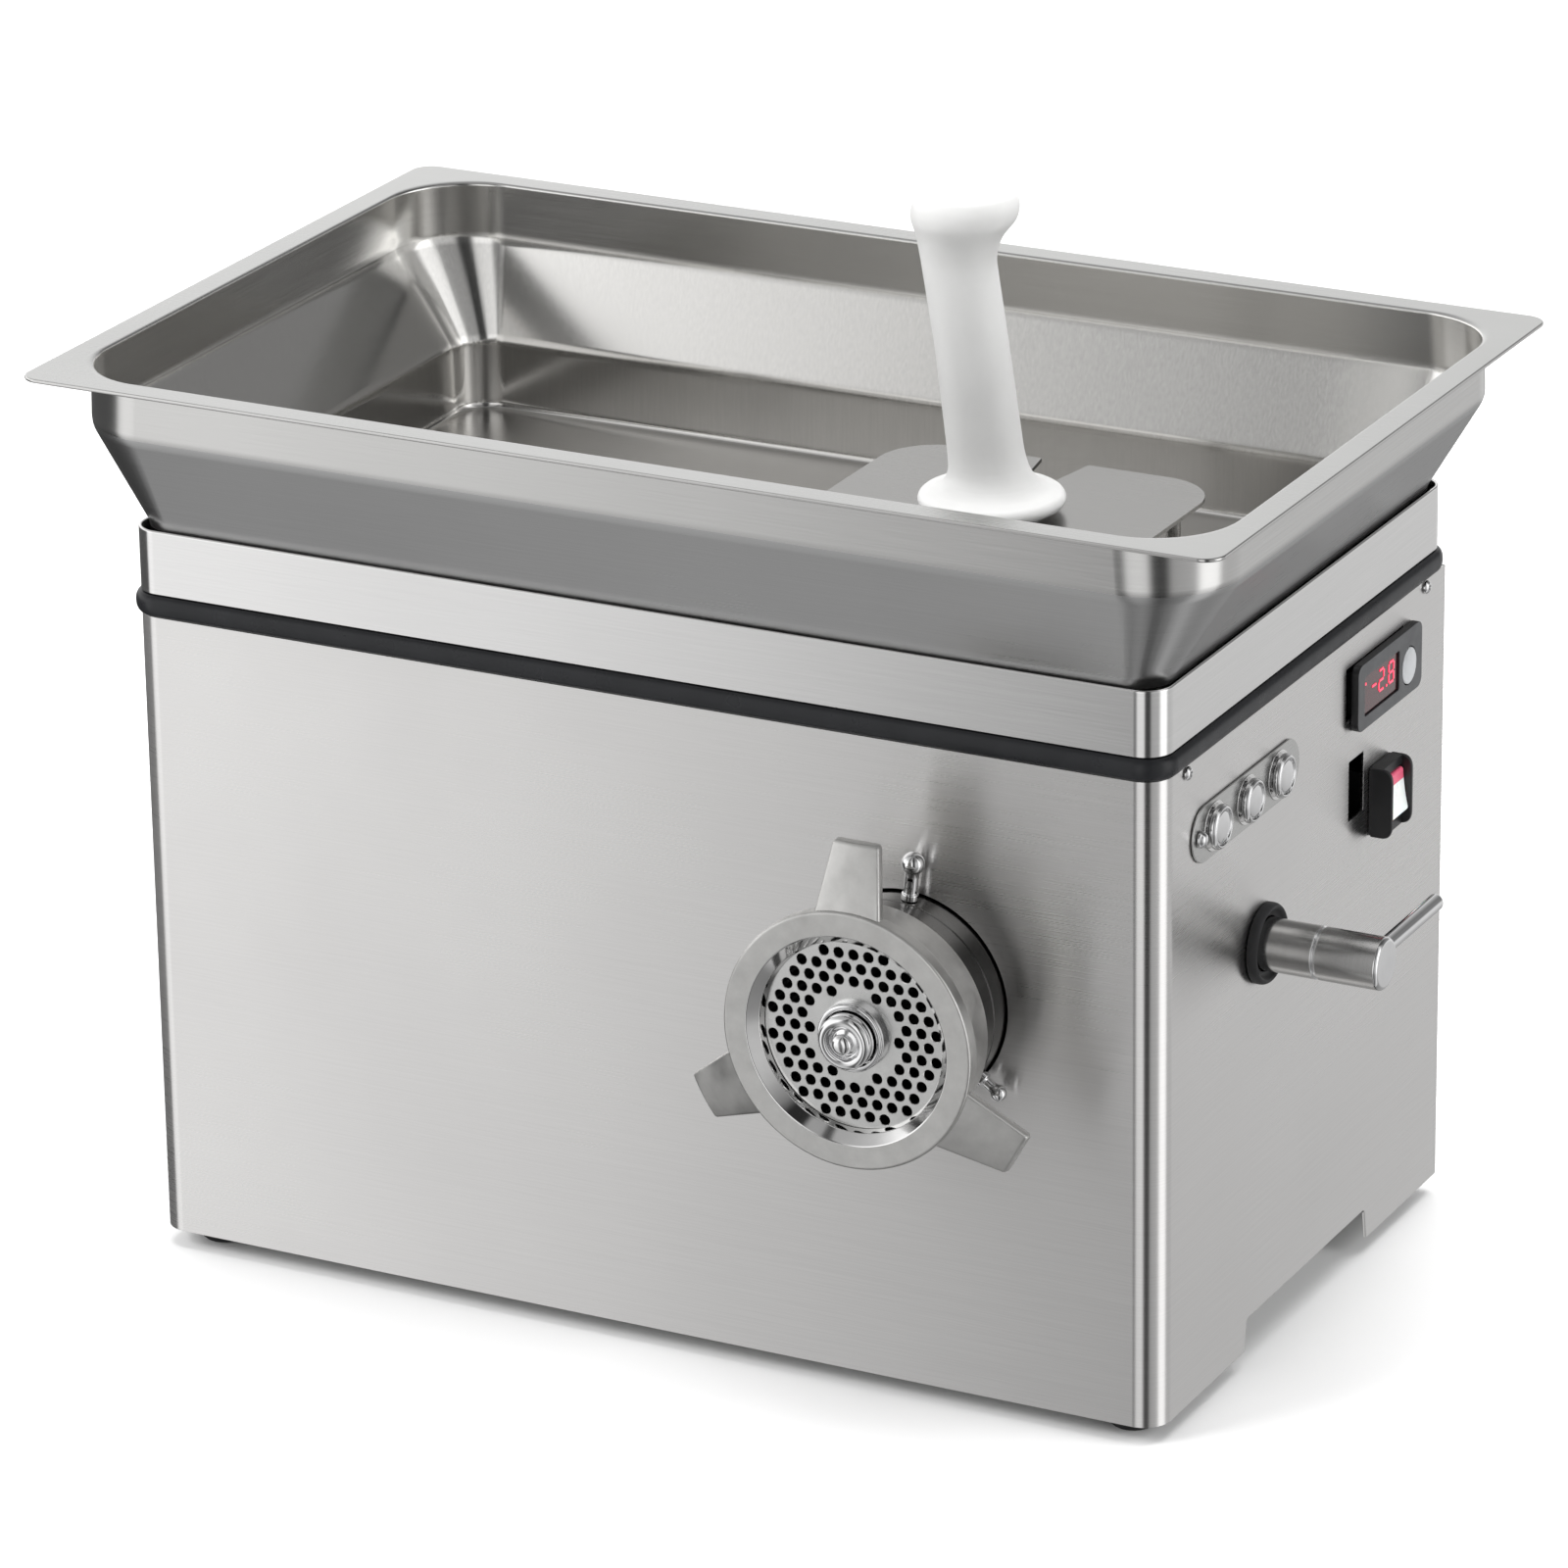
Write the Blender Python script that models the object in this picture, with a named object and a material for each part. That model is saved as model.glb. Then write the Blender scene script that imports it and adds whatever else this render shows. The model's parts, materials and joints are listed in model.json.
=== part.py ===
"""Refrigerated electric meat grinder: casing, tray, grinding head, drive, cooling and controls."""

import math

import bmesh
import bpy
from mathutils import Matrix, Vector

MM = 0.001
GAP = 0.3 * MM  # clearance between pieces that touch

# Body: X runs right along the front, Y into the depth, Z up from the floor.
# Sizes below are measured from the body's front left edge and from the floor.
BODY_WIDTH = 550 * MM
BODY_DEPTH = 335 * MM
BODY_BOTTOM = 9.5 * MM
SHEET = 1.5 * MM
GASKET_Z = 341.5 * MM
GASKET_HEIGHT = 11 * MM
SIDE_SCREW_Z = 332.2 * MM
GASKET_BULGE = 3 * MM
BODY_TOP = 380 * MM
CORNER_RADIUS = 14 * MM

# Tray
RIM_Z = 459.6 * MM
RIM_OVERHANG_X = 40.5 * MM
RIM_FRONT = -29.2 * MM
RIM_BACK = 364 * MM
RIM_WIDTH = 15 * MM
KINK_Z = 430 * MM
TRAY_FLOOR = 343.6 * MM

# Grinding head
HEAD_X = 419 * MM
HEAD_Z = 209.5 * MM
BARREL_RADIUS = 52 * MM
BARREL_REAR = 150 * MM
BORE_RADIUS = 45 * MM
PLATE_RADIUS = 49 * MM
PLATE_FRONT = -54 * MM
PLATE_BACK = -46 * MM
RING_FRONT = -63 * MM
LUG_SWEEP = 10.5 * MM
RING_REAR = -31 * MM
RING_RADIUS = 64 * MM
THREAD_RADIUS = 54 * MM
STUD_TIP = -70 * MM
STUD_RADIUS = 13.5 * MM
STUD_BORE = 14 * MM
FEED_Y = 95 * MM
FEED_RADIUS = 26.5 * MM
HOLE_PITCH = 7.7 * MM
HOLE_RADIUS = 2.6 * MM

# Drive
MODULE = 2.4 * MM
GEAR_TEETH = 54
PINION_TEETH = 12
MESH_SLACK = 0.4 * MM
MOTOR_X = HEAD_X - MODULE * (GEAR_TEETH + PINION_TEETH) / 2 - MESH_SLACK
GEAR_FRONT = 173 * MM
GEAR_BACK = 189 * MM

# Lever on the right side
LEVER_Y = 116 * MM
LEVER_Z = 216 * MM
LEVER_END = 614 * MM

# Controls on the right side
BUTTON_Z = 296 * MM
BUTTON_CENTRES = (58 * MM, 95 * MM, 131 * MM)
BUTTON_NAMES = ("start_button", "stop_button", "reverse_button")
BEZEL_HEIGHT = 4.4 * MM
SWITCH_Y = 254.8 * MM
SWITCH_Z = 243 * MM

# Pestle
DISC_Z = 423.5 * MM

# The origin is under the middle of the whole machine's box.
ORIGIN_X = (LEVER_END - RIM_OVERHANG_X) / 2
ORIGIN_Y = (STUD_TIP + RIM_BACK) / 2

STEEL = ((0.72, 0.72, 0.71, 1), 0.28, 1.0)
CHROME = ((0.82, 0.82, 0.82, 1), 0.08, 1.0)
CAST = ((0.62, 0.62, 0.61, 1), 0.35, 1.0)
DARK_STEEL = ((0.32, 0.32, 0.33, 1), 0.4, 1.0)
RUBBER = ((0.02, 0.02, 0.02, 1), 0.6, 0.0)
BLACK_PLASTIC = ((0.03, 0.03, 0.03, 1), 0.4, 0.0)
WHITE_PLASTIC = ((0.9, 0.9, 0.88, 1), 0.4, 0.0)
GREY_PAINT = ((0.35, 0.38, 0.4, 1), 0.5, 0.0)
COPPER = ((0.8, 0.42, 0.25, 1), 0.3, 1.0)
ALUMINIUM = ((0.75, 0.76, 0.77, 1), 0.4, 1.0)
GREEN_BOARD = ((0.05, 0.25, 0.1, 1), 0.5, 0.0)
RED_GLASS = ((0.6, 0.05, 0.04, 1), 0.1, 0.0)


def material(name, finish):
    colour, roughness, metallic = finish
    made = bpy.data.materials.new(name)
    made.use_nodes = True
    shader = made.node_tree.nodes["Principled BSDF"]
    shader.inputs["Base Color"].default_value = colour
    shader.inputs["Roughness"].default_value = roughness
    shader.inputs["Metallic"].default_value = metallic
    return made


def place(x, y, z):
    """A point of the machine's frame from one measured on the body."""
    return Vector((x - ORIGIN_X, y - ORIGIN_Y, z))


def to_object(name, mesh_data, origin, finish):
    """Makes an object whose mesh is measured from its own origin on the body."""
    bmesh.ops.recalc_face_normals(mesh_data, faces=mesh_data.faces)
    mesh = bpy.data.meshes.new(name)
    mesh_data.to_mesh(mesh)
    mesh_data.free()
    made = bpy.data.objects.new(name, mesh)
    made.location = place(*origin)
    bpy.context.scene.collection.objects.link(made)
    if finish is None:
        made.hide_render = True
        made.display_type = "WIRE"
    else:
        mesh.materials.append(material(name, finish))
        mesh.shade_smooth()
        mesh.set_sharp_from_angle(angle=math.radians(35))
    return made


def turn_to(axis):
    """The rotation that takes +Z to the named axis."""
    return {
        "X": Matrix.Rotation(math.pi / 2, 3, "Y"),
        "Y": Matrix.Rotation(-math.pi / 2, 3, "X"),
        "Z": Matrix.Identity(3),
    }[axis]


def turned(name, profile, origin, axis, finish, sides=32):
    """A body of revolution: profile is a loop of (radius, height along the axis)."""
    shape = bmesh.new()
    turn = turn_to(axis)
    rings = []
    for radius, height in profile:
        if radius == 0:
            rings.append([shape.verts.new(turn @ Vector((0, 0, height)))] * sides)
            continue
        ring = []
        for i in range(sides):
            angle = 2 * math.pi * (i + 0.5) / sides
            point = Vector((radius * math.cos(angle), radius * math.sin(angle), height))
            ring.append(shape.verts.new(turn @ point))
        rings.append(ring)
    pairs = list(zip(rings, rings[1:]))
    if profile[0][0] > 0:
        pairs.append((rings[-1], rings[0]))
    for low, high in pairs:
        for i in range(sides):
            j = (i + 1) % sides
            corners = []
            for vert in (low[i], low[j], high[j], high[i]):
                if vert not in corners:
                    corners.append(vert)
            if len(corners) > 2:
                shape.faces.new(corners)
    return to_object(name, shape, origin, finish)


def tube(name, inner, outer, start, end, origin, axis, finish, sides=32):
    """A plain ring or sleeve."""
    profile = [(inner, start), (outer, start), (outer, end), (inner, end)]
    return turned(name, profile, origin, axis, finish, sides)


def rod(name, radius, start, end, origin, axis, finish, sides=24):
    """A plain cylinder."""
    profile = [(0, start), (radius, start), (radius, end), (0, end)]
    return turned(name, profile, origin, axis, finish, sides)


def prism(name, outline, start, end, origin, axis, finish):
    """A flat outline extruded along an axis."""
    shape = bmesh.new()
    turn = turn_to(axis)
    low = [shape.verts.new(turn @ Vector((x, y, start))) for x, y in outline]
    high = [shape.verts.new(turn @ Vector((x, y, end))) for x, y in outline]
    count = len(outline)
    shape.faces.new(low)
    shape.faces.new(high)
    for i in range(count):
        j = (i + 1) % count
        shape.faces.new((low[i], low[j], high[j], high[i]))
    return to_object(name, shape, origin, finish)


def block(name, low, high, finish):
    """A box between two corners measured on the body."""
    (x0, y0, z0), (x1, y1, z1) = low, high
    outline = [(x0, y0), (x1, y0), (x1, y1), (x0, y1)]
    return prism(name, outline, z0, z1, (0, 0, 0), "Z", finish)


def loft(name, loops, origin, finish, closed=False):
    """A skin through loops of equal length; closed joins the last loop to the first."""
    shape = bmesh.new()
    rings = [[shape.verts.new(point) for point in loop] for loop in loops]
    count = len(rings[0])
    pairs = list(zip(rings, rings[1:]))
    if closed:
        pairs.append((rings[-1], rings[0]))
    for low, high in pairs:
        for i in range(count):
            j = (i + 1) % count
            shape.faces.new((low[i], low[j], high[j], high[i]))
    if not closed:
        shape.faces.new(rings[0])
        shape.faces.new(rings[-1])
    return to_object(name, shape, origin, finish)


def arc(centre_x, centre_y, radius, start, end, steps):
    """Points on an arc, with its angles in degrees."""
    points = []
    for i in range(steps + 1):
        angle = math.radians(start + (end - start) * i / steps)
        points.append((centre_x + radius * math.cos(angle), centre_y + radius * math.sin(angle)))
    return points


def rounded_box(x0, x1, y0, y1, radius, steps=4):
    """The outline of a rectangle with round corners."""
    return (
        arc(x0 + radius, y0 + radius, radius, 180, 270, steps)
        + arc(x1 - radius, y0 + radius, radius, 270, 360, steps)
        + arc(x1 - radius, y1 - radius, radius, 0, 90, steps)
        + arc(x0 + radius, y1 - radius, radius, 90, 180, steps)
    )


def boolean(target, cutter, operation):
    change = target.modifiers.new(operation.lower() + "_" + cutter.name, "BOOLEAN")
    change.operation = operation
    change.solver = "EXACT"
    change.object = cutter


def cut(target, *cutters):
    for cutter in cutters:
        boolean(target, cutter, "DIFFERENCE")


def join(target, *additions):
    for addition in additions:
        boolean(target, addition, "UNION")


def clear_scene():
    for old in list(bpy.data.objects):
        bpy.data.objects.remove(old, do_unlink=True)


# ---------------------------------------------------------------- casing


def casing_outline(inset, back):
    """A U with round front corners, open at the back."""
    radius = CORNER_RADIUS - inset
    low = inset
    right = BODY_WIDTH - inset
    left_arc = arc(low + radius, low + radius, radius, 180, 270, 4)
    right_arc = arc(right - radius, low + radius, radius, 270, 360, 4)
    return [(low, back)] + left_arc + right_arc + [(right, back)]


def casing_wrap():
    """Front and sides in one bent sheet, with the head's hole and the side notches."""
    back = BODY_DEPTH - SHEET - GAP
    outer = casing_outline(0, back)
    inner = casing_outline(SHEET, back)
    top = GASKET_Z - GASKET_HEIGHT / 2 - GAP
    wrap = prism("casing_wrap", outer + inner[::-1], BODY_BOTTOM, top, (0, 0, 0), "Z", STEEL)
    head = (HEAD_X, 0, HEAD_Z)
    head_hole = rod("cut_head_hole", BARREL_RADIUS + 1 * MM, -5 * MM, 5 * MM, head, "Y", None, 32)
    lever = (BODY_WIDTH, LEVER_Y, LEVER_Z)
    lever_hole = rod("cut_lever_hole", 13.4 * MM, -5 * MM, 5 * MM, lever, "X", None, 24)
    notch = [(98 * MM, 0), (248 * MM, 0), (244 * MM, 26 * MM), (101 * MM, 26 * MM)]
    outline = side_outline(notch)
    notch_cut = prism("cut_side_notches", outline, -5 * MM, BODY_WIDTH + 5 * MM, (0, 0, 0), "X", None)
    cut(wrap, head_hole, lever_hole, notch_cut)
    return wrap


def side_panel_openings(wrap):
    """Holes behind the controls on the right side."""
    outer = BODY_WIDTH
    slots = (
        ("cut_switch", 242.6, 267, 228.1, 257.9),
        ("cut_thermostat", 222, 292, 290.3, 317.3),
    )
    for name, y0, y1, z0, z1 in slots:
        low = (outer - 5 * MM, y0 * MM, z0 * MM)
        cut(wrap, block(name, low, (outer + 5 * MM, y1 * MM, z1 * MM), None))
    for index, centre in enumerate(BUTTON_CENTRES):
        hole = rod(f"cut_button_{index}", 8.5 * MM, -5 * MM, 5 * MM, (outer, centre, BUTTON_Z), "X", None, 16)
        cut(wrap, hole)


def rear_panel():
    """The back sheet, screwed between the sides, with louvres for the cooling air."""
    top = GASKET_Z - GASKET_HEIGHT / 2 - GAP
    panel = block("rear_panel", (0, BODY_DEPTH - SHEET, BODY_BOTTOM), (BODY_WIDTH, BODY_DEPTH, top), STEEL)
    for index in range(9):
        low = (52 * MM, BODY_DEPTH - 5 * MM, (56 + 18 * index) * MM)
        high = (212 * MM, BODY_DEPTH + 5 * MM, (64 + 18 * index) * MM)
        cut(panel, block(f"cut_louvre_{index}", low, high, None))
    gland = rod("cut_gland", 8.3 * MM, -5 * MM, 5 * MM, (480 * MM, BODY_DEPTH, 60 * MM), "Y", None, 16)
    cut(panel, gland)


def band(name, outset, thickness, low, high, finish):
    """A closed band round the body."""
    outer = rounded_box(-outset, BODY_WIDTH + outset, -outset, BODY_DEPTH + outset, CORNER_RADIUS + outset)
    inset = thickness - outset
    radius = CORNER_RADIUS - inset
    inner = rounded_box(inset, BODY_WIDTH - inset, inset, BODY_DEPTH - inset, radius)
    loops = [
        [Vector((x, y, low)) for x, y in outer],
        [Vector((x, y, high)) for x, y in outer],
        [Vector((x, y, high)) for x, y in inner],
        [Vector((x, y, low)) for x, y in inner],
    ]
    return loft(name, loops, (0, 0, 0), finish, closed=True)


def casing():
    wrap = casing_wrap()
    side_panel_openings(wrap)
    rear_panel()
    half = GASKET_HEIGHT / 2
    band("casing_gasket", GASKET_BULGE, GASKET_BULGE + 2.6 * MM, GASKET_Z - half, GASKET_Z + half, RUBBER)
    band("upper_casing", 0, SHEET, GASKET_Z + half + GAP, BODY_TOP, STEEL)
    inset = SHEET + GAP
    floor = BODY_BOTTOM + 17 * MM
    low = (inset, CORNER_RADIUS, floor)
    block("base_plate", low, (BODY_WIDTH - inset, BODY_DEPTH - inset, floor + 2 * MM), DARK_STEEL)
    deck = block(
        "deck_plate",
        (inset, CORNER_RADIUS, 334 * MM),
        (BODY_WIDTH - inset, BODY_DEPTH - inset, 335.7 * MM),
        DARK_STEEL,
    )
    cut(deck, rod("cut_deck", FEED_RADIUS + 3.5 * MM, 320 * MM, 350 * MM, (HEAD_X, FEED_Y, 0), "Z", None, 24))


def feet():
    """Rubber feet screwed up into the base plate through the corners."""
    top = BODY_BOTTOM + 17 * MM - GAP
    profile = [(0, 0), (11, 0), (13, 2), (13.5, 8), (9, 12), (9, top / MM), (0, top / MM)]
    scaled = [(r * MM, z * MM) for r, z in profile]
    for side, x in (("left", 24 * MM), ("right", BODY_WIDTH - 24 * MM)):
        for end, y in (("front", 24 * MM), ("rear", BODY_DEPTH - 24 * MM)):
            turned(f"foot_{end}_{side}", scaled, (x, y, 0), "Z", RUBBER, 14)


def side_screws():
    """Domed screws that hold the wrap to the deck plate on the right side."""
    profile = [(0, 0), (3.4, 0), (3.4, 0.8), (2.4, 1.9), (0, 2.3)]
    scaled = [(r * MM, x * MM) for r, x in profile]
    for name, y in (("side_screw_front", 28.5 * MM), ("side_screw_rear", 309.5 * MM)):
        turned(name, scaled, (BODY_WIDTH + GAP, y, SIDE_SCREW_Z), "X", CHROME, 12)


# ---------------------------------------------------------------- tray


def tray_loop(inset, z, radius):
    """A level loop of the tray, inset from the rim's outer edge."""
    x0 = -RIM_OVERHANG_X + inset
    x1 = BODY_WIDTH + RIM_OVERHANG_X - inset
    outline = rounded_box(x0, x1, RIM_FRONT + inset, RIM_BACK - inset, radius, 6)
    return [Vector((x, y, z)) for x, y in outline]


def body_loop(inset, z, radius):
    """A level loop of the tray's basin, inset from the body's sides."""
    outline = rounded_box(inset, BODY_WIDTH - inset, inset, BODY_DEPTH - inset, radius, 6)
    return [Vector((x, y, z)) for x, y in outline]


def hopper_tray():
    """One folded sheet: flat rim, upright wall, taper and a basin that nests in the body."""
    under = RIM_Z - 2 * MM
    floor_top = TRAY_FLOOR + SHEET
    skirt = BODY_TOP + 1.2 * MM
    loops = [
        body_loop(4 * MM, TRAY_FLOOR, 18 * MM),
        body_loop(3 * MM, skirt, 18 * MM),
        tray_loop(RIM_WIDTH - SHEET, KINK_Z, 43 * MM),
        tray_loop(RIM_WIDTH - SHEET, under, 45 * MM),
        tray_loop(0, under, 10 * MM),
        tray_loop(0, RIM_Z, 10 * MM),
        tray_loop(RIM_WIDTH, RIM_Z, 44 * MM),
        tray_loop(RIM_WIDTH, KINK_Z, 42 * MM),
        body_loop(4.6 * MM, skirt, 20 * MM),
        body_loop(5.6 * MM, floor_top, 19 * MM),
    ]
    tray = loft("hopper_tray", loops, (0, 0, 0), STEEL)
    hole = (HEAD_X, FEED_Y, 0)
    cut(tray, rod("cut_tray_hole", FEED_RADIUS + 1.8 * MM, 330 * MM, 360 * MM, hole, "Z", None, 32))


def feed_guard():
    """A flat plate on four legs that keeps hands away from the feed hole."""
    top = 419.5 * MM
    half = 84 * MM
    outline = rounded_box(-half, half, -78 * MM, 80 * MM, 30 * MM, 4)
    plate = prism("feed_guard", outline, top - 2 * MM, top, (HEAD_X, FEED_Y, 0), "Z", STEEL)
    for index, (x, y) in enumerate(((-66, -60), (66, -60), (-66, 60), (66, 60))):
        foot = (HEAD_X + x * MM, FEED_Y + y * MM, 0)
        low = TRAY_FLOOR + SHEET + GAP
        join(plate, rod(f"add_leg_{index}", 4 * MM, low, top - 1 * MM, foot, "Z", None, 10))
    notch = [(-6 * MM, 42 * MM), (6 * MM, 42 * MM), (14 * MM, 90 * MM), (-14 * MM, 90 * MM)]
    cut(plate, prism("cut_notch", notch, 400 * MM, 430 * MM, (HEAD_X, FEED_Y, 0), "Z", None))
    cut(plate, rod("cut_guard_hole", FEED_RADIUS, 400 * MM, 430 * MM, (HEAD_X, FEED_Y, 0), "Z", None, 32))


def feed_tube():
    """The throat from the tray's floor down to the barrel."""
    low = HEAD_Z + BARREL_RADIUS + 1 * MM
    flange = TRAY_FLOOR + SHEET + GAP
    wall = FEED_RADIUS + SHEET
    profile = [
        (FEED_RADIUS, low),
        (wall, low),
        (wall, flange),
        (FEED_RADIUS + 9 * MM, flange),
        (FEED_RADIUS + 9 * MM, flange + SHEET),
        (FEED_RADIUS, flange + SHEET),
    ]
    turned("feed_tube", profile, (HEAD_X, FEED_Y, 0), "Z", STEEL, 24)


def pestle():
    """A plunger, a stop disc and a handle that leans to the left, in one moulding."""
    rings = (
        (0, 292, 23), (0, 295, 25), (0, 423.5, 25), (0, 423.5, 34.5), (0, 426, 35.5),
        (0, 429.5, 33.5), (0, 431.5, 25), (-1, 437, 19.5), (-3, 446, 18.3), (-17.2, 546, 17.9),
        (-16.2, 553, 20.4), (-13.6, 563, 25.8), (-12.6, 570, 25), (-11.4, 576, 21),
    )
    sides = 16
    loops = []
    for offset, z, radius in rings:
        circle = arc(offset * MM, 0, radius * MM, 0, 360 - 360 / sides, sides - 1)
        loops.append([Vector((x, y, z * MM - DISC_Z)) for x, y in circle])
    loft("pestle", loops, (HEAD_X, FEED_Y, DISC_Z), WHITE_PLASTIC)


# ---------------------------------------------------------------- grinding head


def grinder_barrel():
    """The cast barrel: threaded front, neck, bore, feed throat and a closed rear wall."""
    profile = [
        (PLATE_RADIUS + 0.3 * MM, PLATE_FRONT + 0.5 * MM),
        (THREAD_RADIUS, PLATE_FRONT + 0.5 * MM),
        (THREAD_RADIUS, -29 * MM),
        (BARREL_RADIUS, -26 * MM),
        (BARREL_RADIUS, BARREL_REAR),
        (16 * MM, BARREL_REAR),
        (16 * MM, BARREL_REAR - 9 * MM),
        (BORE_RADIUS, BARREL_REAR - 9 * MM),
        (BORE_RADIUS, -33 * MM),
        (PLATE_RADIUS + 0.3 * MM, -33 * MM),
    ]
    barrel = turned("grinder_barrel", profile, (HEAD_X, 0, HEAD_Z), "Y", CAST, 32)
    throat = rod("cut_throat", FEED_RADIUS, 20 * MM, 80 * MM, (HEAD_X, FEED_Y, HEAD_Z), "Z", None, 24)
    cut(barrel, throat)


def worm_section(turn):
    """The worm's section: a round core with one flight on it, turned by an angle."""
    core = 19 * MM
    crest = 43.5 * MM
    points = []
    for angle, radius in ((0, crest), (25, crest), (50, crest), (66, 26 * MM)):
        points.append((angle, radius))
    for step in range(7):
        points.append((88 + 38 * step, core))
    points.append((344, 26 * MM))
    section = []
    for angle, radius in points:
        radians = math.radians(angle) + turn
        section.append(Vector((radius * math.cos(radians), 0, radius * math.sin(radians))))
    return section


def worm():
    """A single-start worm with a square tang at its rear."""
    start = -32 * MM
    end = BARREL_REAR - 13 * MM
    pitch = 44 * MM
    slices = 34
    loops = []
    for index in range(slices + 1):
        y = start + (end - start) * index / slices
        loops.append([point + Vector((0, y, 0)) for point in worm_section(2 * math.pi * (y - start) / pitch)])
    screw = loft("worm", loops, (HEAD_X, 0, HEAD_Z), CAST)
    centre = (HEAD_X, 0, HEAD_Z)
    shank = rod("add_shank", 15.5 * MM, end - 5 * MM, BARREL_REAR + 4 * MM, centre, "Y", None, 20)
    half = 9 * MM
    square = [(-half, -half), (half, -half), (half, half), (-half, half)]
    tang = prism("add_tang", square, BARREL_REAR, BARREL_REAR + 20 * MM, (HEAD_X, 0, HEAD_Z), "Y", None)
    join(screw, shank, tang)


def worm_stud():
    """The hollow-ended stud in the worm's nose, which carries the knife and centres the plate."""
    back = -33 * MM
    profile = [
        (0, STUD_TIP + 9 * MM),
        (5 * MM, STUD_TIP + 8 * MM),
        (7.5 * MM, STUD_TIP + 1.2 * MM),
        (10 * MM, STUD_TIP),
        (13 * MM, STUD_TIP + 1.5 * MM),
        (STUD_RADIUS, STUD_TIP + 2.5 * MM),
        (STUD_RADIUS, back),
        (0, back),
    ]
    turned("worm_stud", profile, (HEAD_X, 0, HEAD_Z), "Y", CHROME, 20)


def knife():
    """Four swept blades on a hub."""
    outline = []
    for blade in range(4):
        base = 90 * blade
        for angle, radius in ((-14, 44), (4, 45), (16, 32), (26, 21), (58, 20)):
            radians = math.radians(base + angle)
            outline.append((radius * MM * math.cos(radians), radius * MM * math.sin(radians)))
    centre = (HEAD_X, 0, HEAD_Z)
    blades = prism("knife", outline, PLATE_BACK + GAP, PLATE_BACK + 10 * MM, centre, "Y", DARK_STEEL)
    cut(blades, rod("cut_knife", STUD_BORE, -60 * MM, -20 * MM, (HEAD_X, 0, HEAD_Z), "Y", None, 24))


def hole_centres():
    """The grid of holes in the plate, rows along X, clear of the hub and the edge."""
    centres = []
    row_step = HOLE_PITCH * math.sqrt(3) / 2
    for row in range(-7, 8):
        shift = HOLE_PITCH / 2 if row % 2 else 0
        for column in range(-7, 8):
            x = column * HOLE_PITCH + shift
            z = row * row_step
            if 20.5 * MM < math.hypot(x, z) < 43.6 * MM:
                centres.append((x, z))
    return centres


def grinding_plate():
    """The perforated plate: each hole is a five-sided well in one solid."""
    shape = bmesh.new()
    wells = []
    for x, z in hole_centres():
        wells.append([(x + a, z + b) for a, b in arc(0, 0, HOLE_RADIUS, 18, 306, 4)])
    outlines = [arc(0, 0, PLATE_RADIUS, 0, 350, 35), arc(0, 0, STUD_BORE, 0, 345, 23)] + wells
    thickness = PLATE_BACK - PLATE_FRONT
    edges = []
    for outline in outlines:
        verts = [shape.verts.new((x, 0, z)) for x, z in outline]
        count = len(verts)
        for i in range(count):
            edges.append(shape.edges.new((verts[i], verts[(i + 1) % count])))
    bmesh.ops.triangle_fill(shape, use_beauty=True, edges=edges, normal=(0, -1, 0))
    front = list(shape.faces)
    grown = bmesh.ops.extrude_face_region(shape, geom=front)
    moved = [item for item in grown["geom"] if isinstance(item, bmesh.types.BMVert)]
    bmesh.ops.translate(shape, verts=moved, vec=(0, thickness, 0))
    plate = to_object("grinding_plate", shape, (HEAD_X, PLATE_FRONT, HEAD_Z), DARK_STEEL)
    face = (HEAD_X, PLATE_FRONT, HEAD_Z)
    hub = tube("add_hub", STUD_BORE + 0.2 * MM, 17 * MM, -5.5 * MM, 1 * MM, face, "Y", None, 24)
    join(plate, hub)


def ring_nut():
    """The front nut: a flat face, a conical mouth, a skirt and three wing lugs."""
    y = RING_FRONT
    profile = [
        (46.2 * MM, PLATE_FRONT - GAP),
        (47.5 * MM, y + 5 * MM),
        (52 * MM, y),
        (RING_RADIUS - 0.8 * MM, y),
        (RING_RADIUS, y + 0.8 * MM),
        (RING_RADIUS, y + 8 * MM),
        (58.5 * MM, y + 10 * MM),
        (58 * MM, RING_REAR),
        (THREAD_RADIUS + 0.4 * MM, RING_REAR),
        (THREAD_RADIUS + 0.4 * MM, PLATE_FRONT - GAP),
    ]
    nut = turned("ring_nut", profile, (HEAD_X, 0, HEAD_Z), "Y", CAST, 36)
    for index in range(3):
        angle = math.radians(90 + 120 * index)
        along = Vector((math.cos(angle), 0, math.sin(angle)))
        across = Vector((-along.z, 0, along.x))
        loops = []
        for radius, half, sweep in ((57, 17, 0), (62, 16.7, 0.4), (94.5, 11.6, LUG_SWEEP / MM)):
            centre = Vector((HEAD_X, 0, HEAD_Z)) + along * radius * MM
            front = y + (1.2 + sweep) * MM
            back = front + 6.4 * MM
            sides = ((-half, front), (half, front), (half, back), (-half, back))
            loops.append([centre + across * side * MM + Vector((0, depth, 0)) for side, depth in sides])
        join(nut, loft(f"add_lug_{index}", loops, (0, 0, 0), None))


def stud(name, angle, ball, reach):
    """A radial stud with a ball end, screwed into the barrel just in front of the casing."""
    base = BARREL_RADIUS + GAP
    profile = [
        (0, base),
        (4.2 * MM, base),
        (4.2 * MM, reach - ball * 1.15),
        (ball * 0.55, reach - ball * 0.85),
        (ball * 0.95, reach - ball * 0.4),
        (ball, reach),
        (ball * 0.8, reach + ball * 0.6),
        (0, reach + ball),
    ]
    made = turned(name, profile, (HEAD_X, -7 * MM, HEAD_Z), "Z", CHROME, 12)
    made.rotation_euler = (0, math.radians(90 - angle), 0)


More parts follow.
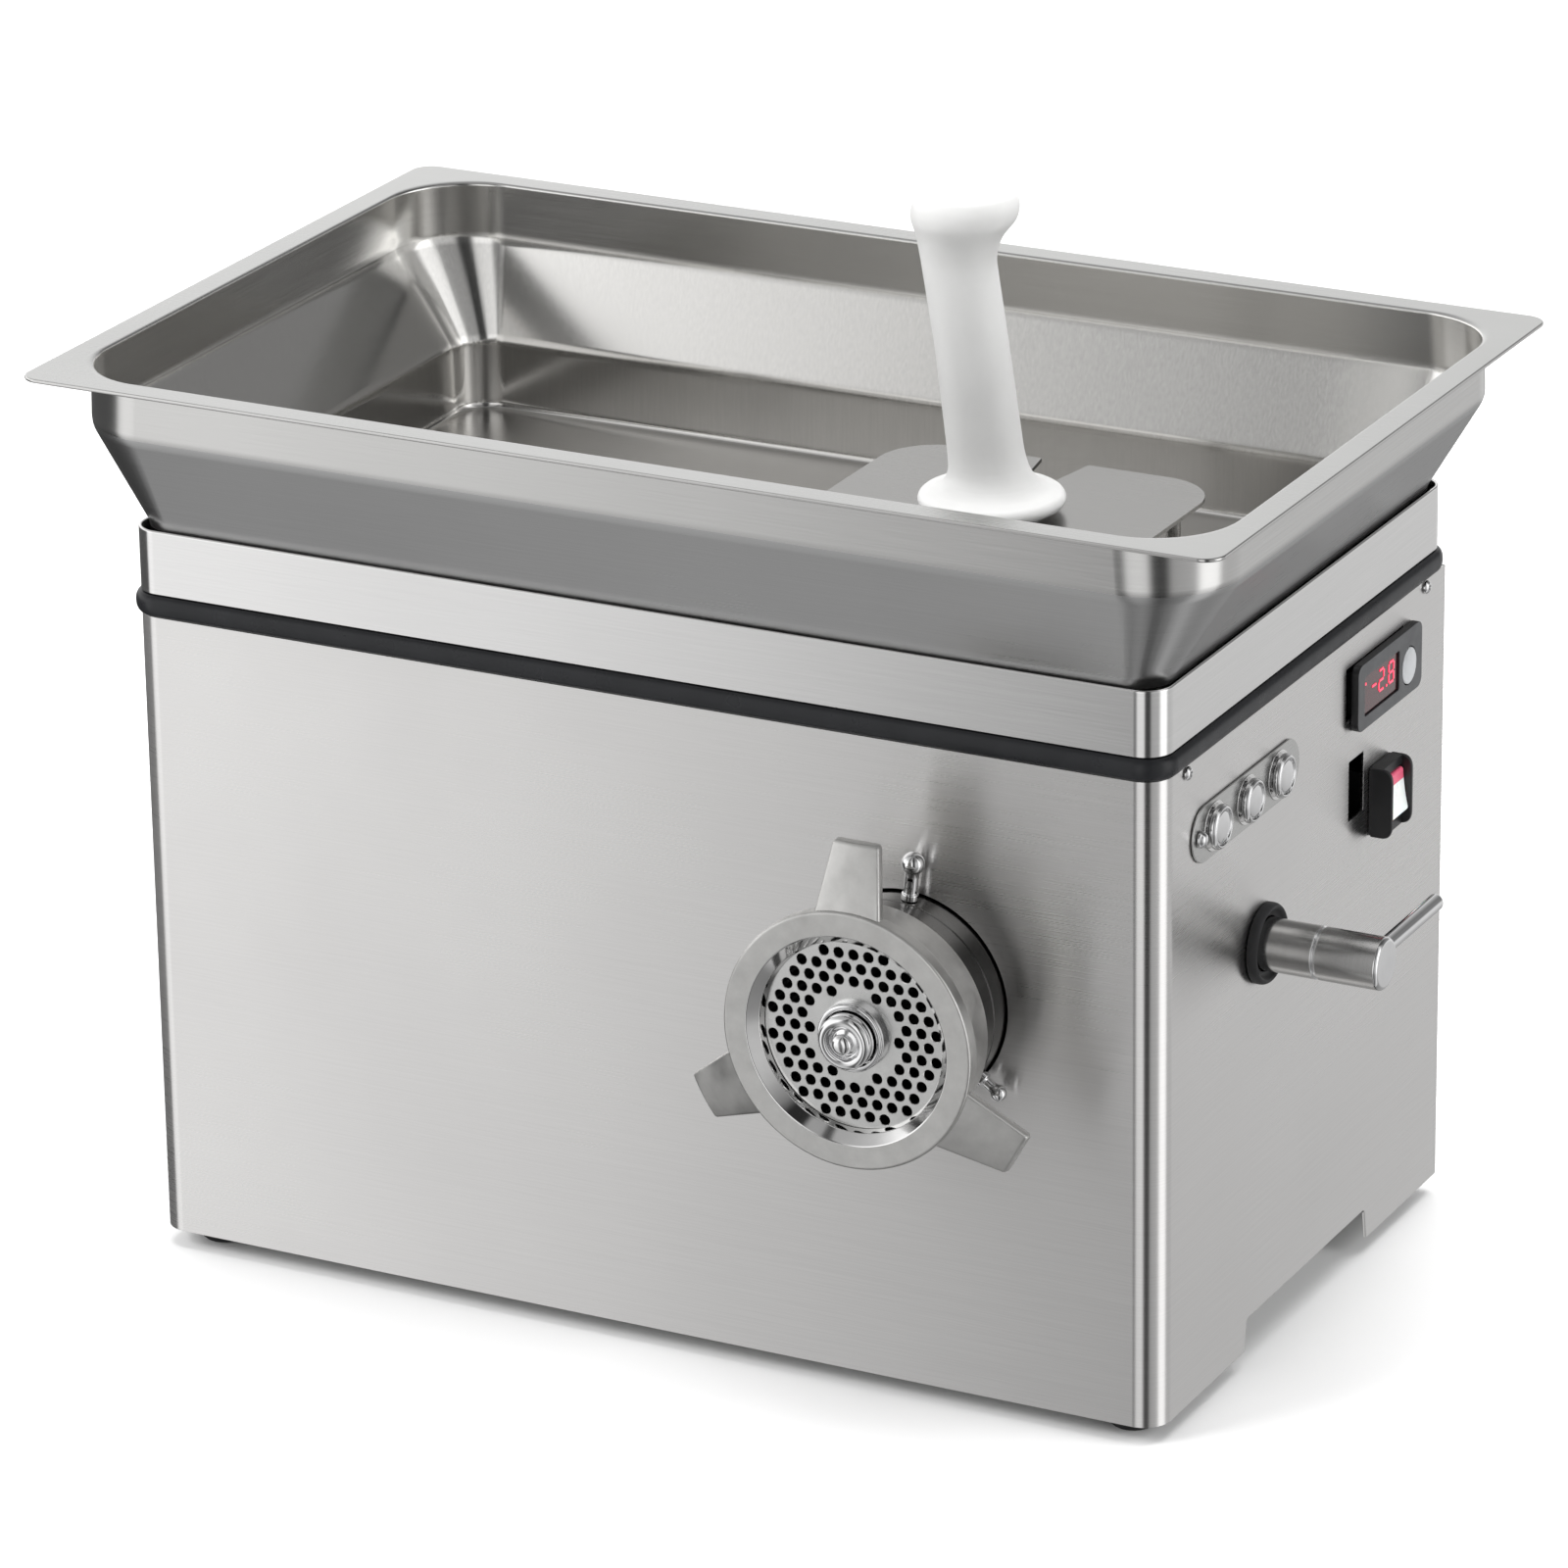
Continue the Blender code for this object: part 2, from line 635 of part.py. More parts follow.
def grinding_head():
    grinder_barrel()
    worm()
    worm_stud()
    knife()
    grinding_plate()
    ring_nut()
    stud("head_knob_stud", 83.5, 5.7 * MM, 70.5 * MM)
    stud("locating_stud_right", -36.5, 4.2 * MM, 64 * MM)
    stud("locating_stud_left", 203.5, 4.2 * MM, 64 * MM)
    centre = (HEAD_X, 0, HEAD_Z)
    front = BARREL_REAR - 12.6 * MM
    tube("thrust_washer", 16.5 * MM, 24 * MM, front, front + 3.2 * MM, centre, "Y", COPPER, 16)


def head_socket():
    """The chilled sleeve that holds the barrel behind the front sheet."""
    front = SHEET + GAP
    rear = BARREL_REAR + 2.5 * MM
    inner = BARREL_RADIUS + 0.8 * MM
    profile = [
        (inner, front + 4 * MM),
        (inner + 12 * MM, front + 4 * MM),
        (inner + 12 * MM, front + 7 * MM),
        (inner + 3 * MM, front + 7 * MM),
        (inner + 3 * MM, rear),
        (inner, rear),
    ]
    centre = (HEAD_X, 0, HEAD_Z)
    sleeve = turned("head_socket", profile, centre, "Y", ALUMINIUM, 32)
    throat = (HEAD_X, FEED_Y, HEAD_Z)
    cut(sleeve, rod("cut_socket", FEED_RADIUS + 2.5 * MM, 20 * MM, 90 * MM, throat, "Z", None, 24))
    pad_hole = rod("cut_pad_hole", 9 * MM, 30 * MM, 90 * MM, (HEAD_X, LEVER_Y, LEVER_Z), "X", None, 16)
    cut(sleeve, pad_hole)
    tube("head_seal", inner, inner + 10 * MM, front, front + 3.7 * MM, centre, "Y", RUBBER, 32)


# ---------------------------------------------------------------- drive


def gear_outline(teeth, phase):
    """Straight-sided teeth, narrow enough to run with slack."""
    pitch_radius = MODULE * teeth / 2
    tip = pitch_radius + 0.8 * MODULE
    root = pitch_radius - 1.05 * MODULE
    step = 360 / teeth
    outline = []
    for index in range(teeth):
        for share, radius in ((-0.30, root), (-0.11, tip), (0.11, tip), (0.30, root)):
            angle = math.radians(phase + step * (index + share))
            outline.append((radius * math.cos(angle), radius * math.sin(angle)))
    return outline


def output_shaft():
    """The shaft that carries the gear, with a square socket for the worm's tang."""
    front = BARREL_REAR + 5 * MM
    profile = [
        (0, front),
        (19 * MM, front),
        (19 * MM, 171.5 * MM),
        (14 * MM, 171.5 * MM),
        (14 * MM, 204 * MM),
        (0, 204 * MM),
    ]
    centre = (HEAD_X, 0, HEAD_Z)
    shaft = turned("output_shaft", profile, centre, "Y", DARK_STEEL, 20)
    half = 9.35 * MM
    square = [(-half, -half), (half, -half), (half, half), (-half, half)]
    cut(shaft, prism("cut_socket_square", square, front - 5 * MM, BARREL_REAR + 21 * MM, centre, "Y", None))


def gears():
    centre = (HEAD_X, 0, HEAD_Z)
    wheel = prism("drive_gear", gear_outline(GEAR_TEETH, 0), GEAR_FRONT, GEAR_BACK, centre, "Y", DARK_STEEL)
    cut(wheel, rod("cut_gear", 14.3 * MM, 160 * MM, 200 * MM, centre, "Y", None, 24))
    motor_centre = (MOTOR_X, 0, HEAD_Z)
    phase = 180 / PINION_TEETH
    teeth = gear_outline(PINION_TEETH, phase)
    pinion = prism("motor_pinion", teeth, GEAR_FRONT, GEAR_BACK, motor_centre, "Y", DARK_STEEL)
    cut(pinion, rod("cut_pinion", 7.3 * MM, 160 * MM, 200 * MM, motor_centre, "Y", None, 16))


def gearbox():
    """A flat housing, open at the back, closed by a cover; the shaft's bearings sit in both."""
    wheel_radius = 71 * MM
    pinion_radius = 22 * MM
    wall = 4 * MM
    front = 160 * MM
    rear = 198 * MM

    def outline(grow):
        """A round end over the wheel and a smaller one over the pinion."""
        offset = MOTOR_X - HEAD_X
        tilt = math.degrees(math.asin((wheel_radius - pinion_radius) / -offset))
        left = arc(offset, 0, pinion_radius + grow, 90 + tilt, 270 - tilt, 6)
        return left + arc(0, 0, wheel_radius + grow, -90 - tilt, 90 + tilt, 20)

    centre = (HEAD_X, 0, HEAD_Z)
    housing = prism("gearbox_housing", outline(wall), front, rear, centre, "Y", GREY_PAINT)
    cut(housing, prism("cut_gearbox", outline(0), front + wall + 6 * MM, rear + 5 * MM, centre, "Y", None))
    cut(housing, rod("cut_gearbox_front", 30.3 * MM, front - 5 * MM, front + 20 * MM, centre, "Y", None, 28))
    cover = prism("gearbox_cover", outline(wall), rear + GAP, rear + 8 * MM, centre, "Y", GREY_PAINT)
    cut(cover, rod("cut_cover_shaft", 22.3 * MM, rear - 5 * MM, rear + 20 * MM, centre, "Y", None, 28))
    motor_hole = (MOTOR_X, 0, HEAD_Z)
    cut(cover, rod("cut_cover_motor", 9 * MM, rear - 5 * MM, rear + 20 * MM, motor_hole, "Y", None, 16))
    tube("shaft_seal", 19.4 * MM, 30 * MM, front + 0.5 * MM, front + 3.5 * MM, centre, "Y", RUBBER, 20)
    tube("front_bearing", 19.3 * MM, 30 * MM, front + 3.8 * MM, front + 10.5 * MM, centre, "Y", CHROME, 20)
    tube("rear_bearing", 14.3 * MM, 22 * MM, rear + 0.8 * MM, rear + 7.5 * MM, centre, "Y", CHROME, 16)


def motor():
    """The motor behind the gearbox: a drum open at the front, its shaft and its cradle."""
    centre = (MOTOR_X, 0, HEAD_Z)
    front = 208 * MM
    rear = 322 * MM
    profile = [
        (30 * MM, front),
        (60 * MM, front),
        (62 * MM, front + 3 * MM),
        (62 * MM, rear - 4 * MM),
        (56 * MM, rear),
        (0, rear),
        (0, rear - 8 * MM),
        (30 * MM, rear - 8 * MM),
    ]
    turned("motor_housing", profile, centre, "Y", GREY_PAINT, 24)
    shaft = [
        (0, 175 * MM),
        (7 * MM, 175 * MM),
        (7 * MM, 210 * MM),
        (29 * MM, 214 * MM),
        (29 * MM, 310 * MM),
        (0, 312 * MM),
    ]
    turned("motor_shaft", shaft, centre, "Y", DARK_STEEL, 16)
    base = BODY_BOTTOM + 19 * MM + GAP
    cradle = block(
        "motor_cradle",
        (MOTOR_X - 50 * MM, 222 * MM, base),
        (MOTOR_X + 50 * MM, 300 * MM, HEAD_Z - 35 * MM),
        DARK_STEEL,
    )
    cut(cradle, rod("cut_cradle", 62.4 * MM, 200 * MM, 330 * MM, centre, "Y", None, 32))
    for index, x in enumerate((-34, 6)):
        low = (MOTOR_X + x * MM, 210 * MM, base + 6 * MM)
        high = (MOTOR_X + (x + 28) * MM, 310 * MM, base + 90 * MM)
        cut(cradle, block(f"cut_cradle_window_{index}", low, high, None))


# ---------------------------------------------------------------- cooling


def compressor():
    """A welded steel pot on a foot plate."""
    base = BODY_BOTTOM + 19 * MM + GAP
    profile = [
        (0, 0), (70, 0), (70, 3), (52, 4), (58, 12), (62, 30), (62, 95), (57, 122), (38, 140), (0, 147),
    ]
    scaled = [(r * MM, z * MM) for r, z in profile]
    turned("compressor", scaled, (125 * MM, 118 * MM, base), "Z", BLACK_PLASTIC, 20)


def condenser():
    """A block of upright fins between two end plates, joined by three tubes."""
    low_z = 50 * MM
    high_z = 216 * MM
    front = 282 * MM
    back = 318 * MM
    left = 42 * MM
    right = 222 * MM
    block_frame = block("condenser", (left, front, low_z), (left + 2 * MM, back, high_z), ALUMINIUM)
    fins = 8
    for index in range(1, fins):
        x = left + (right - left) * index / (fins - 1)
        fin = block(f"add_fin_{index}", (x, front, low_z), (x + 2 * MM, back, high_z), None)
        join(block_frame, fin)
    for index, z in enumerate((78, 133, 188)):
        place = (0, 300 * MM, z * MM)
        pipe = rod(f"add_pipe_{index}", 5 * MM, left - 6 * MM, right + 8 * MM, place, "X", None, 10)
        join(block_frame, pipe)


def condenser_fan():
    """Five pitched blades on a hub, and the shroud that they turn in."""
    centre = (132 * MM, 262 * MM, 133 * MM)
    hub = rod("condenser_fan", 20 * MM, -9 * MM, 9 * MM, centre, "Y", BLACK_PLASTIC, 20)
    for index in range(5):
        outline = [(-18 * MM, 0), (18 * MM, 0), (18 * MM, 1.6 * MM), (-18 * MM, 1.6 * MM)]
        blade = prism(f"add_blade_{index}", outline, 14 * MM, 74 * MM, centre, "Z", None)
        spin = Matrix.Rotation(math.radians(72 * index), 4, "Y")
        pitch = Matrix.Rotation(math.radians(24), 4, "Z")
        blade.matrix_world = Matrix.Translation(blade.location) @ spin @ pitch
        join(hub, blade)
    half = 88 * MM
    x, y, z = centre
    low = (x - half, y - 11 * MM, z - half)
    shroud = block("fan_shroud", low, (x + half, y + 15 * MM, z + half), BLACK_PLASTIC)
    cut(shroud, rod("cut_shroud", 78 * MM, -30 * MM, 30 * MM, centre, "Y", None, 32))


def cooling_coil():
    """A coil of pipe wound round the sleeve behind the throat."""
    pipe = 3.4 * MM
    radius = BARREL_RADIUS + 3.8 * MM + pipe + 1.4 * MM
    turns = 2.5
    start = 132 * MM
    pitch = 7.6 * MM
    steps = 48
    loops = []
    for index in range(steps + 1):
        share = turns * index / steps
        angle = 2 * math.pi * share
        outward = Vector((math.cos(angle), 0, math.sin(angle)))
        middle = outward * radius + Vector((0, start + pitch * share, 0))
        loop = []
        for side in range(5):
            turn = 2 * math.pi * side / 5
            loop.append(middle + outward * pipe * math.cos(turn) + Vector((0, pipe * math.sin(turn), 0)))
        loops.append(loop)
    loft("cooling_coil", loops, (HEAD_X, 0, HEAD_Z), COPPER)


# ---------------------------------------------------------------- controls


def side_outline(points):
    """An outline given as (y, z) for a prism that is extruded along X."""
    return [(-z, y) for y, z in points]


def button_panel():
    """Three spring-loaded buttons and a lamp in a plate with round ends."""
    half = 14 * MM
    middle = 94 * MM
    reach = 61 * MM - half
    ends = arc(middle + reach, BUTTON_Z, half, -90, 90, 10) + arc(middle - reach, BUTTON_Z, half, 90, 270, 10)
    face = BODY_WIDTH + GAP
    plate = prism("button_plate", side_outline(ends), face, face + 1 * MM, (0, 0, 0), "X", STEEL)
    for index, (name, y) in enumerate(zip(BUTTON_NAMES, BUTTON_CENTRES)):
        centre = (BODY_WIDTH, y, BUTTON_Z)
        cut(plate, rod(f"cut_plate_{index}", 8.5 * MM, -5 * MM, 9 * MM, centre, "X", None, 20))
        profile = [
            (0, -14 * MM),
            (8 * MM, -14 * MM),
            (8 * MM, 3 * MM),
            (11 * MM, 3 * MM),
            (11 * MM, 5.2 * MM),
            (9.6 * MM, 6.2 * MM),
            (0, 5.8 * MM),
        ]
        turned(name, profile, centre, "X", CHROME, 18)
    lamp = [(0, 0), (4.2, 0), (4.2, 1.3), (3.2, 3), (0, 3.7)]
    origin = (face + 1 * MM + GAP, 40.5 * MM, BUTTON_Z - 0.5 * MM)
    turned("indicator_lamp", [(r * MM, x * MM) for r, x in lamp], origin, "X", CHROME, 16)


def thermostat():
    """The temperature controller: bezel and body in one, a dark window and a key pad."""
    face = BODY_WIDTH + GAP
    front = BODY_WIDTH + BEZEL_HEIGHT
    rim = rounded_box(218 * MM, 296 * MM, 286.8 * MM, 320.8 * MM, 4 * MM, 3)
    bezel = prism("thermostat_bezel", side_outline(rim), face, front, (0, 0, 0), "X", BLACK_PLASTIC)
    body_low = (BODY_WIDTH - 52 * MM, 223 * MM, 291.3 * MM)
    join(bezel, block("add_thermostat", body_low, (face + 1 * MM, 291 * MM, 316.3 * MM), None))
    window_low = (front - 2 * MM, 226 * MM, 293.3 * MM)
    cut(bezel, block("cut_window", window_low, (front + 5 * MM, 268 * MM, 313.5 * MM), None))
    low = (front - 1.7 * MM, 226.3 * MM, 293.6 * MM)
    block("thermostat_window", low, (front + 0.2 * MM, 267.7 * MM, 313.2 * MM), RED_GLASS)
    oval = []
    pocket = []
    for index in range(16):
        angle = 2 * math.pi * index / 16
        y = math.cos(angle)
        z = math.sin(angle)
        oval.append(((280 + 8.5 * y) * MM, (301.8 + 9.3 * z) * MM))
        pocket.append(((280 + 9 * y) * MM, (301.8 + 9.8 * z) * MM))
    well = (front - 3 * MM, front + 5 * MM)
    cut(bezel, prism("cut_key_pocket", side_outline(pocket), *well, (0, 0, 0), "X", None))
    prism("thermostat_keys", side_outline(oval), front - 2 * MM, front + 0.7 * MM, (0, 0, 0), "X", GREY_PAINT)


def main_switch():
    """A rocker in a hood whose two side cheeks stand proud of it."""
    face = BODY_WIDTH + GAP
    half_y = 13.2 * MM
    half_z = 18 * MM
    outer = rounded_box(SWITCH_Y - half_y, SWITCH_Y + half_y, SWITCH_Z - half_z, SWITCH_Z + half_z, 2 * MM, 2)
    hood = BODY_WIDTH + 7.6 * MM
    frame = prism("switch_frame", side_outline(outer), face, hood, (0, 0, 0), "X", BLACK_PLASTIC)
    for index, y in enumerate((SWITCH_Y - half_y, SWITCH_Y + half_y - 2.2 * MM)):
        tip = 11.6 * MM
        cheek = [(0, -half_z), (tip - 5 * MM, -half_z)]
        cheek += [(tip - 1.2 * MM, 4 * MM - half_z), (tip, 9 * MM - half_z)]
        cheek += [(x, -z) for x, z in reversed(cheek)]
        outline = [(BODY_WIDTH + 1 * MM + x, -(SWITCH_Z + z)) for x, z in cheek]
        join(frame, prism(f"add_cheek_{index}", outline, y, y + 2.2 * MM, (0, 0, 0), "Y", None))
    body_low = (BODY_WIDTH - 24 * MM, SWITCH_Y - 11.9 * MM, SWITCH_Z - 14.6 * MM)
    body_high = (face + 1 * MM, SWITCH_Y + 11.9 * MM, SWITCH_Z + 14.6 * MM)
    join(frame, block("add_switch", body_low, body_high, None))
    low = (BODY_WIDTH - 8 * MM, SWITCH_Y - 10.8 * MM, SWITCH_Z - 13.4 * MM)
    high = (BODY_WIDTH + 40 * MM, SWITCH_Y + 10.8 * MM, SWITCH_Z + 13.4 * MM)
    cut(frame, block("cut_switch_well", low, high, None))
    lean = math.radians(8)
    pivot = (BODY_WIDTH + 0.5 * MM, SWITCH_Y, SWITCH_Z)
    shape = [(-4, -9), (2.5, -11.6), (9.6, -11.2), (9, 0), (9.6, 11.2), (2.5, 11.6), (-4, 9)]
    outline = []
    for x, z in shape:
        turned_x = x * math.cos(lean) - z * math.sin(lean)
        turned_z = x * math.sin(lean) + z * math.cos(lean)
        outline.append((turned_x * MM, -turned_z * MM))
    prism("rocker_switch", outline, -10.4 * MM, 10.4 * MM, pivot, "Y", WHITE_PLASTIC)


def control_board():
    """The board behind the controls, with its relays and terminal strip."""
    base = BODY_BOTTOM + 19 * MM + GAP
    board = block("control_board", (500 * MM, 190 * MM, base), (502 * MM, 300 * MM, 150 * MM), GREEN_BOARD)
    parts = ((200, 224, 100, 128), (232, 256, 100, 128), (264, 288, 96, 130), (200, 288, 50, 66))
    for index, (y0, y1, z0, z1) in enumerate(parts):
        low = (501 * MM, y0 * MM, z0 * MM)
        join(board, block(f"add_relay_{index}", low, (516 * MM, y1 * MM, z1 * MM), None))


def cable_gland():
    """The gland at the back where the mains lead would enter."""
    y = BODY_DEPTH
    profile = [
        (4 * MM, -8 * MM),
        (8 * MM, -8 * MM),
        (8 * MM, GAP),
        (13 * MM, GAP),
        (13 * MM, 6 * MM),
        (9 * MM, 8 * MM),
        (7 * MM, 17 * MM),
        (4 * MM, 17 * MM),
    ]
    turned("cable_gland", profile, (480 * MM, y, 60 * MM), "Y", BLACK_PLASTIC, 14)


# ---------------------------------------------------------------- lever


def lever():
    """The lever that clamps the barrel: collar, shaft, bar and the pad that it drives."""
    side = BODY_WIDTH + GAP
    centre = (0, LEVER_Y, LEVER_Z)
    collar = [
        (13.4 * MM, side),
        (20 * MM, side),
        (20 * MM, side + 4 * MM),
        (18.5 * MM, side + 5.5 * MM),
        (13.4 * MM, side + 5.5 * MM),
    ]
    turned("lever_collar", collar, centre, "X", RUBBER, 20)
    groove = BODY_WIDTH + 30 * MM
    shaft = [
        (0, 498 * MM),
        (10 * MM, 498 * MM),
        (10 * MM, 545 * MM),
        (13 * MM, 545 * MM),
        (13 * MM, groove),
        (12.2 * MM, groove + 1 * MM),
        (13 * MM, groove + 2 * MM),
        (13 * MM, LEVER_END - 1 * MM),
        (12 * MM, LEVER_END),
        (0, LEVER_END),
    ]
    made = turned("lever_shaft", shaft, centre, "X", CHROME, 20)
    bar_x = 604 * MM
    hole = rod("cut_bar_hole", 4.6 * MM, -30 * MM, 30 * MM, (bar_x, LEVER_Y, LEVER_Z), "Y", None, 12)
    cut(made, hole)
    bar = [(0, -14), (3.4, -14), (4.3, -13), (4.3, 82), (3.4, 84), (0, 84)]
    turned("lever_bar", [(r * MM, y * MM) for r, y in bar], (bar_x, LEVER_Y, LEVER_Z), "Y", CHROME, 12)
    pad_tip = HEAD_X + BARREL_RADIUS + 0.5 * MM
    pad = [
        (0, pad_tip),
        (7.6 * MM, pad_tip),
        (7.6 * MM, 487 * MM),
        (0, 487 * MM),
    ]
    turned("clamp_pad", pad, centre, "X", DARK_STEEL, 16)


def main():
    clear_scene()
    casing()
    feet()
    side_screws()
    hopper_tray()
    feed_guard()
    feed_tube()
    pestle()
    grinding_head()
    head_socket()
    output_shaft()
    gears()
    gearbox()
    motor()
    compressor()
    condenser()
    condenser_fan()
    cooling_coil()
    button_panel()
    thermostat()
    main_switch()
    control_board()
    cable_gland()
    lever()


main()
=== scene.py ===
"""Looks of the chilled electric meat grinder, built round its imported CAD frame."""

import json
from math import cos, hypot, pi, radians, sin, sqrt

import bmesh
import bpy
from mathutils import Matrix, Vector

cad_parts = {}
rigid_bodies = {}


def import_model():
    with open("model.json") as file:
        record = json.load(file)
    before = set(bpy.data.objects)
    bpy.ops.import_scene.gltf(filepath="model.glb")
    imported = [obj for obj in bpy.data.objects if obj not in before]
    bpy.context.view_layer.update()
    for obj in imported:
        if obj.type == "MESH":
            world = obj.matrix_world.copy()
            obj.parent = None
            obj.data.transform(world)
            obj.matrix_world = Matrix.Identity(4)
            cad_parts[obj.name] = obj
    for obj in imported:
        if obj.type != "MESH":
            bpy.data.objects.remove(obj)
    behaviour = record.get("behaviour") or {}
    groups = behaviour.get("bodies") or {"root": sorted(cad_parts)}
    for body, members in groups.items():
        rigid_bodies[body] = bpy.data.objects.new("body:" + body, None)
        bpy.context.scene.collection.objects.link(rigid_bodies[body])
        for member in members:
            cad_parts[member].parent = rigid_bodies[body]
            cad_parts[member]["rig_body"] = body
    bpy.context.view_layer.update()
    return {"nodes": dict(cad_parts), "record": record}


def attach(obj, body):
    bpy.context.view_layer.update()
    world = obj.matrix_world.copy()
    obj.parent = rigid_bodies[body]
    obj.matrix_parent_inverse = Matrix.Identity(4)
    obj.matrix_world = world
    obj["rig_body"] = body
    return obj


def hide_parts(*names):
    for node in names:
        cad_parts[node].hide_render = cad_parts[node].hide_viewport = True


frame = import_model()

# Sizes are millimetres measured from the body's front left edge and the floor, as in part.py.
MM = 0.001
BODY_X0 = 286.75
BODY_Y0 = 147.0
BODY_WIDTH = 550
BODY_DEPTH = 335
BODY_BOTTOM = 9.5
WRAP_TOP = 335.7
CORNER = 14
HEAD_X = 419
HEAD_Z = 209.5
HEAD = (HEAD_X, 0, HEAD_Z)
FEED_Y = 95
FEED = (HEAD_X, FEED_Y, 0)
FEED_RADIUS = 26.5
TRAY_MIDDLE_Y = 167
TRAY_BAND_Z = 431.5
HOLE_PITCH = 7.7
LEVER = (116, 216)
LEVER_BAR_X = 604
BUTTON_Z = 296
BUTTONS = {"start_button": 58, "stop_button": 95, "reverse_button": 131}
SIDE_SCREWS = {"front": 28.5, "rear": 309.5}
SIDE_SCREW_Z = 332.2
KEY_MIDDLE = (280, 301.8)
SWITCH = (254.8, 243)
SWITCH_LEAN = 8
CABLE_EXIT = (480, BODY_DEPTH, 60)
LOUVRES = 9
LOUVRE_PITCH = 18


def at(x, y, z):
    """A point of the frame, in metres, from one measured on the body."""
    return Vector(((x - BODY_X0) * MM, (y - BODY_Y0) * MM, z * MM))


# ---- shapes


def arc(cx, cy, radius, start, end, steps):
    points = []
    for i in range(steps + 1):
        angle = radians(start + (end - start) * i / steps)
        points.append((cx + radius * cos(angle), cy + radius * sin(angle)))
    return points


def round_rect(x0, x1, y0, y1, radius, steps=10):
    return (
        arc(x0 + radius, y0 + radius, radius, 180, 270, steps)
        + arc(x1 - radius, y0 + radius, radius, 270, 360, steps)
        + arc(x1 - radius, y1 - radius, radius, 0, 90, steps)
        + arc(x0 + radius, y1 - radius, radius, 90, 180, steps)
    )


def bend(start, corner, end, steps):
    """Points of the curve that rounds a corner."""
    shares = [k / steps for k in range(steps + 1)]
    return [start * (1 - t) ** 2 + corner * 2 * t * (1 - t) + end * t * t for t in shares]


def soften(points, closed=False, steps=4):
    """Rounds the corners of a line of (a, b, size); each curve starts size before its corner."""
    out = []
    count = len(points)
    for i, (a, b, size) in enumerate(points):
        if size == 0 or (not closed and i in (0, count - 1)):
            out.append((a, b))
            continue
        corner = Vector((a, b))
        before = Vector(points[i - 1][:2]) - corner
        after = Vector(points[(i + 1) % count][:2]) - corner
        start = corner + before.normalized() * min(size, before.length * 0.49)
        end = corner + after.normalized() * min(size, after.length * 0.49)
        out += [(point.x, point.y) for point in bend(start, corner, end, steps)]
    return out


TURNS = {
    "X": Matrix.Rotation(pi / 2, 3, "Y"),
    "Y": Matrix.Rotation(-pi / 2, 3, "X"),
    "Z": Matrix.Identity(3),
}


def new_object(name, shape):
    bmesh.ops.remove_doubles(shape, verts=shape.verts, dist=1e-7)
    bmesh.ops.recalc_face_normals(shape, faces=shape.faces)
    mesh = bpy.data.meshes.new(name)
    shape.to_mesh(mesh)
    shape.free()
    made = bpy.data.objects.new(name, mesh)
    bpy.context.scene.collection.objects.link(made)
    return made


def skin(name, loops, closed=False):
    """A skin through loops of points; closed joins the last loop to the first."""
    shape = bmesh.new()
    rings = [[shape.verts.new(point) for point in loop] for loop in loops]
    count = len(rings[0])
    pairs = list(zip(rings, rings[1:]))
    if closed:
        pairs.append((rings[-1], rings[0]))
    for low, high in pairs:
        for i in range(count):
            j = (i + 1) % count
            shape.faces.new((low[i], low[j], high[j], high[i]))
    if not closed:
        shape.faces.new(rings[0])
        shape.faces.new(rings[-1])
    return new_object(name, shape)


def lathe(name, profile, centre, axis, sides=72, ring=False, steps=4):
    """A turned piece from (radius, height, rounding); ring marks a profile that is a closed loop."""
    line = soften(profile, closed=ring, steps=steps)
    turn = TURNS[axis]
    middle = at(*centre)
    shape = bmesh.new()
    rings = []
    for radius, height in line:
        if radius < 1e-6:
            rings.append([shape.verts.new(middle + turn @ Vector((0, 0, height * MM)))] * sides)
            continue
        circle = []
        for i in range(sides):
            angle = 2 * pi * i / sides
            point = Vector((radius * cos(angle), radius * sin(angle), height)) * MM
            circle.append(shape.verts.new(middle + turn @ point))
        rings.append(circle)
    pairs = list(zip(rings, rings[1:]))
    if ring:
        pairs.append((rings[-1], rings[0]))
    for low, high in pairs:
        for i in range(sides):
            j = (i + 1) % sides
            corners = []
            for vert in (low[i], low[j], high[j], high[i]):
                if vert not in corners:
                    corners.append(vert)
            if len(corners) > 2:
                shape.faces.new(corners)
    return new_object(name, shape)


def prism(name, outline, start, end, centre, axis):
    """A flat outline pushed out along an axis."""
    turn = TURNS[axis]
    middle = at(*centre)
    loops = []
    for level in (start, end):
        loops.append([middle + turn @ Vector((a * MM, b * MM, level * MM)) for a, b in outline])
    return skin(name, loops)


def block(name, low, high):
    outline = [(low[0], low[1]), (high[0], low[1]), (high[0], high[1]), (low[0], high[1])]
    return prism(name, outline, low[2], high[2], (0, 0, 0), "Z")


def rod(name, radius, start, end, centre, axis, sides=48):
    profile = [(0, start, 0), (radius, start, 0), (radius, end, 0), (0, end, 0)]
    return lathe(name, profile, centre, axis, sides)


def side_prism(name, points, start, end):
    """An outline given as (y, z), pushed out along X."""
    return prism(name, [(-z, y) for y, z in points], start, end, (0, 0, 0), "X")


def oval(middle, half_y, half_z, count):
    y, z = middle
    angles = [2 * pi * k / count for k in range(count)]
    return [(y + half_y * cos(angle), z + half_z * sin(angle)) for angle in angles]


def bake(obj):
    """Makes the modifiers' result the mesh itself."""
    graph = bpy.context.evaluated_depsgraph_get()
    mesh = bpy.data.meshes.new_from_object(obj.evaluated_get(graph))
    old = obj.data
    obj.modifiers.clear()
    obj.data = mesh
    bpy.data.meshes.remove(old)
    mesh.name = obj.name


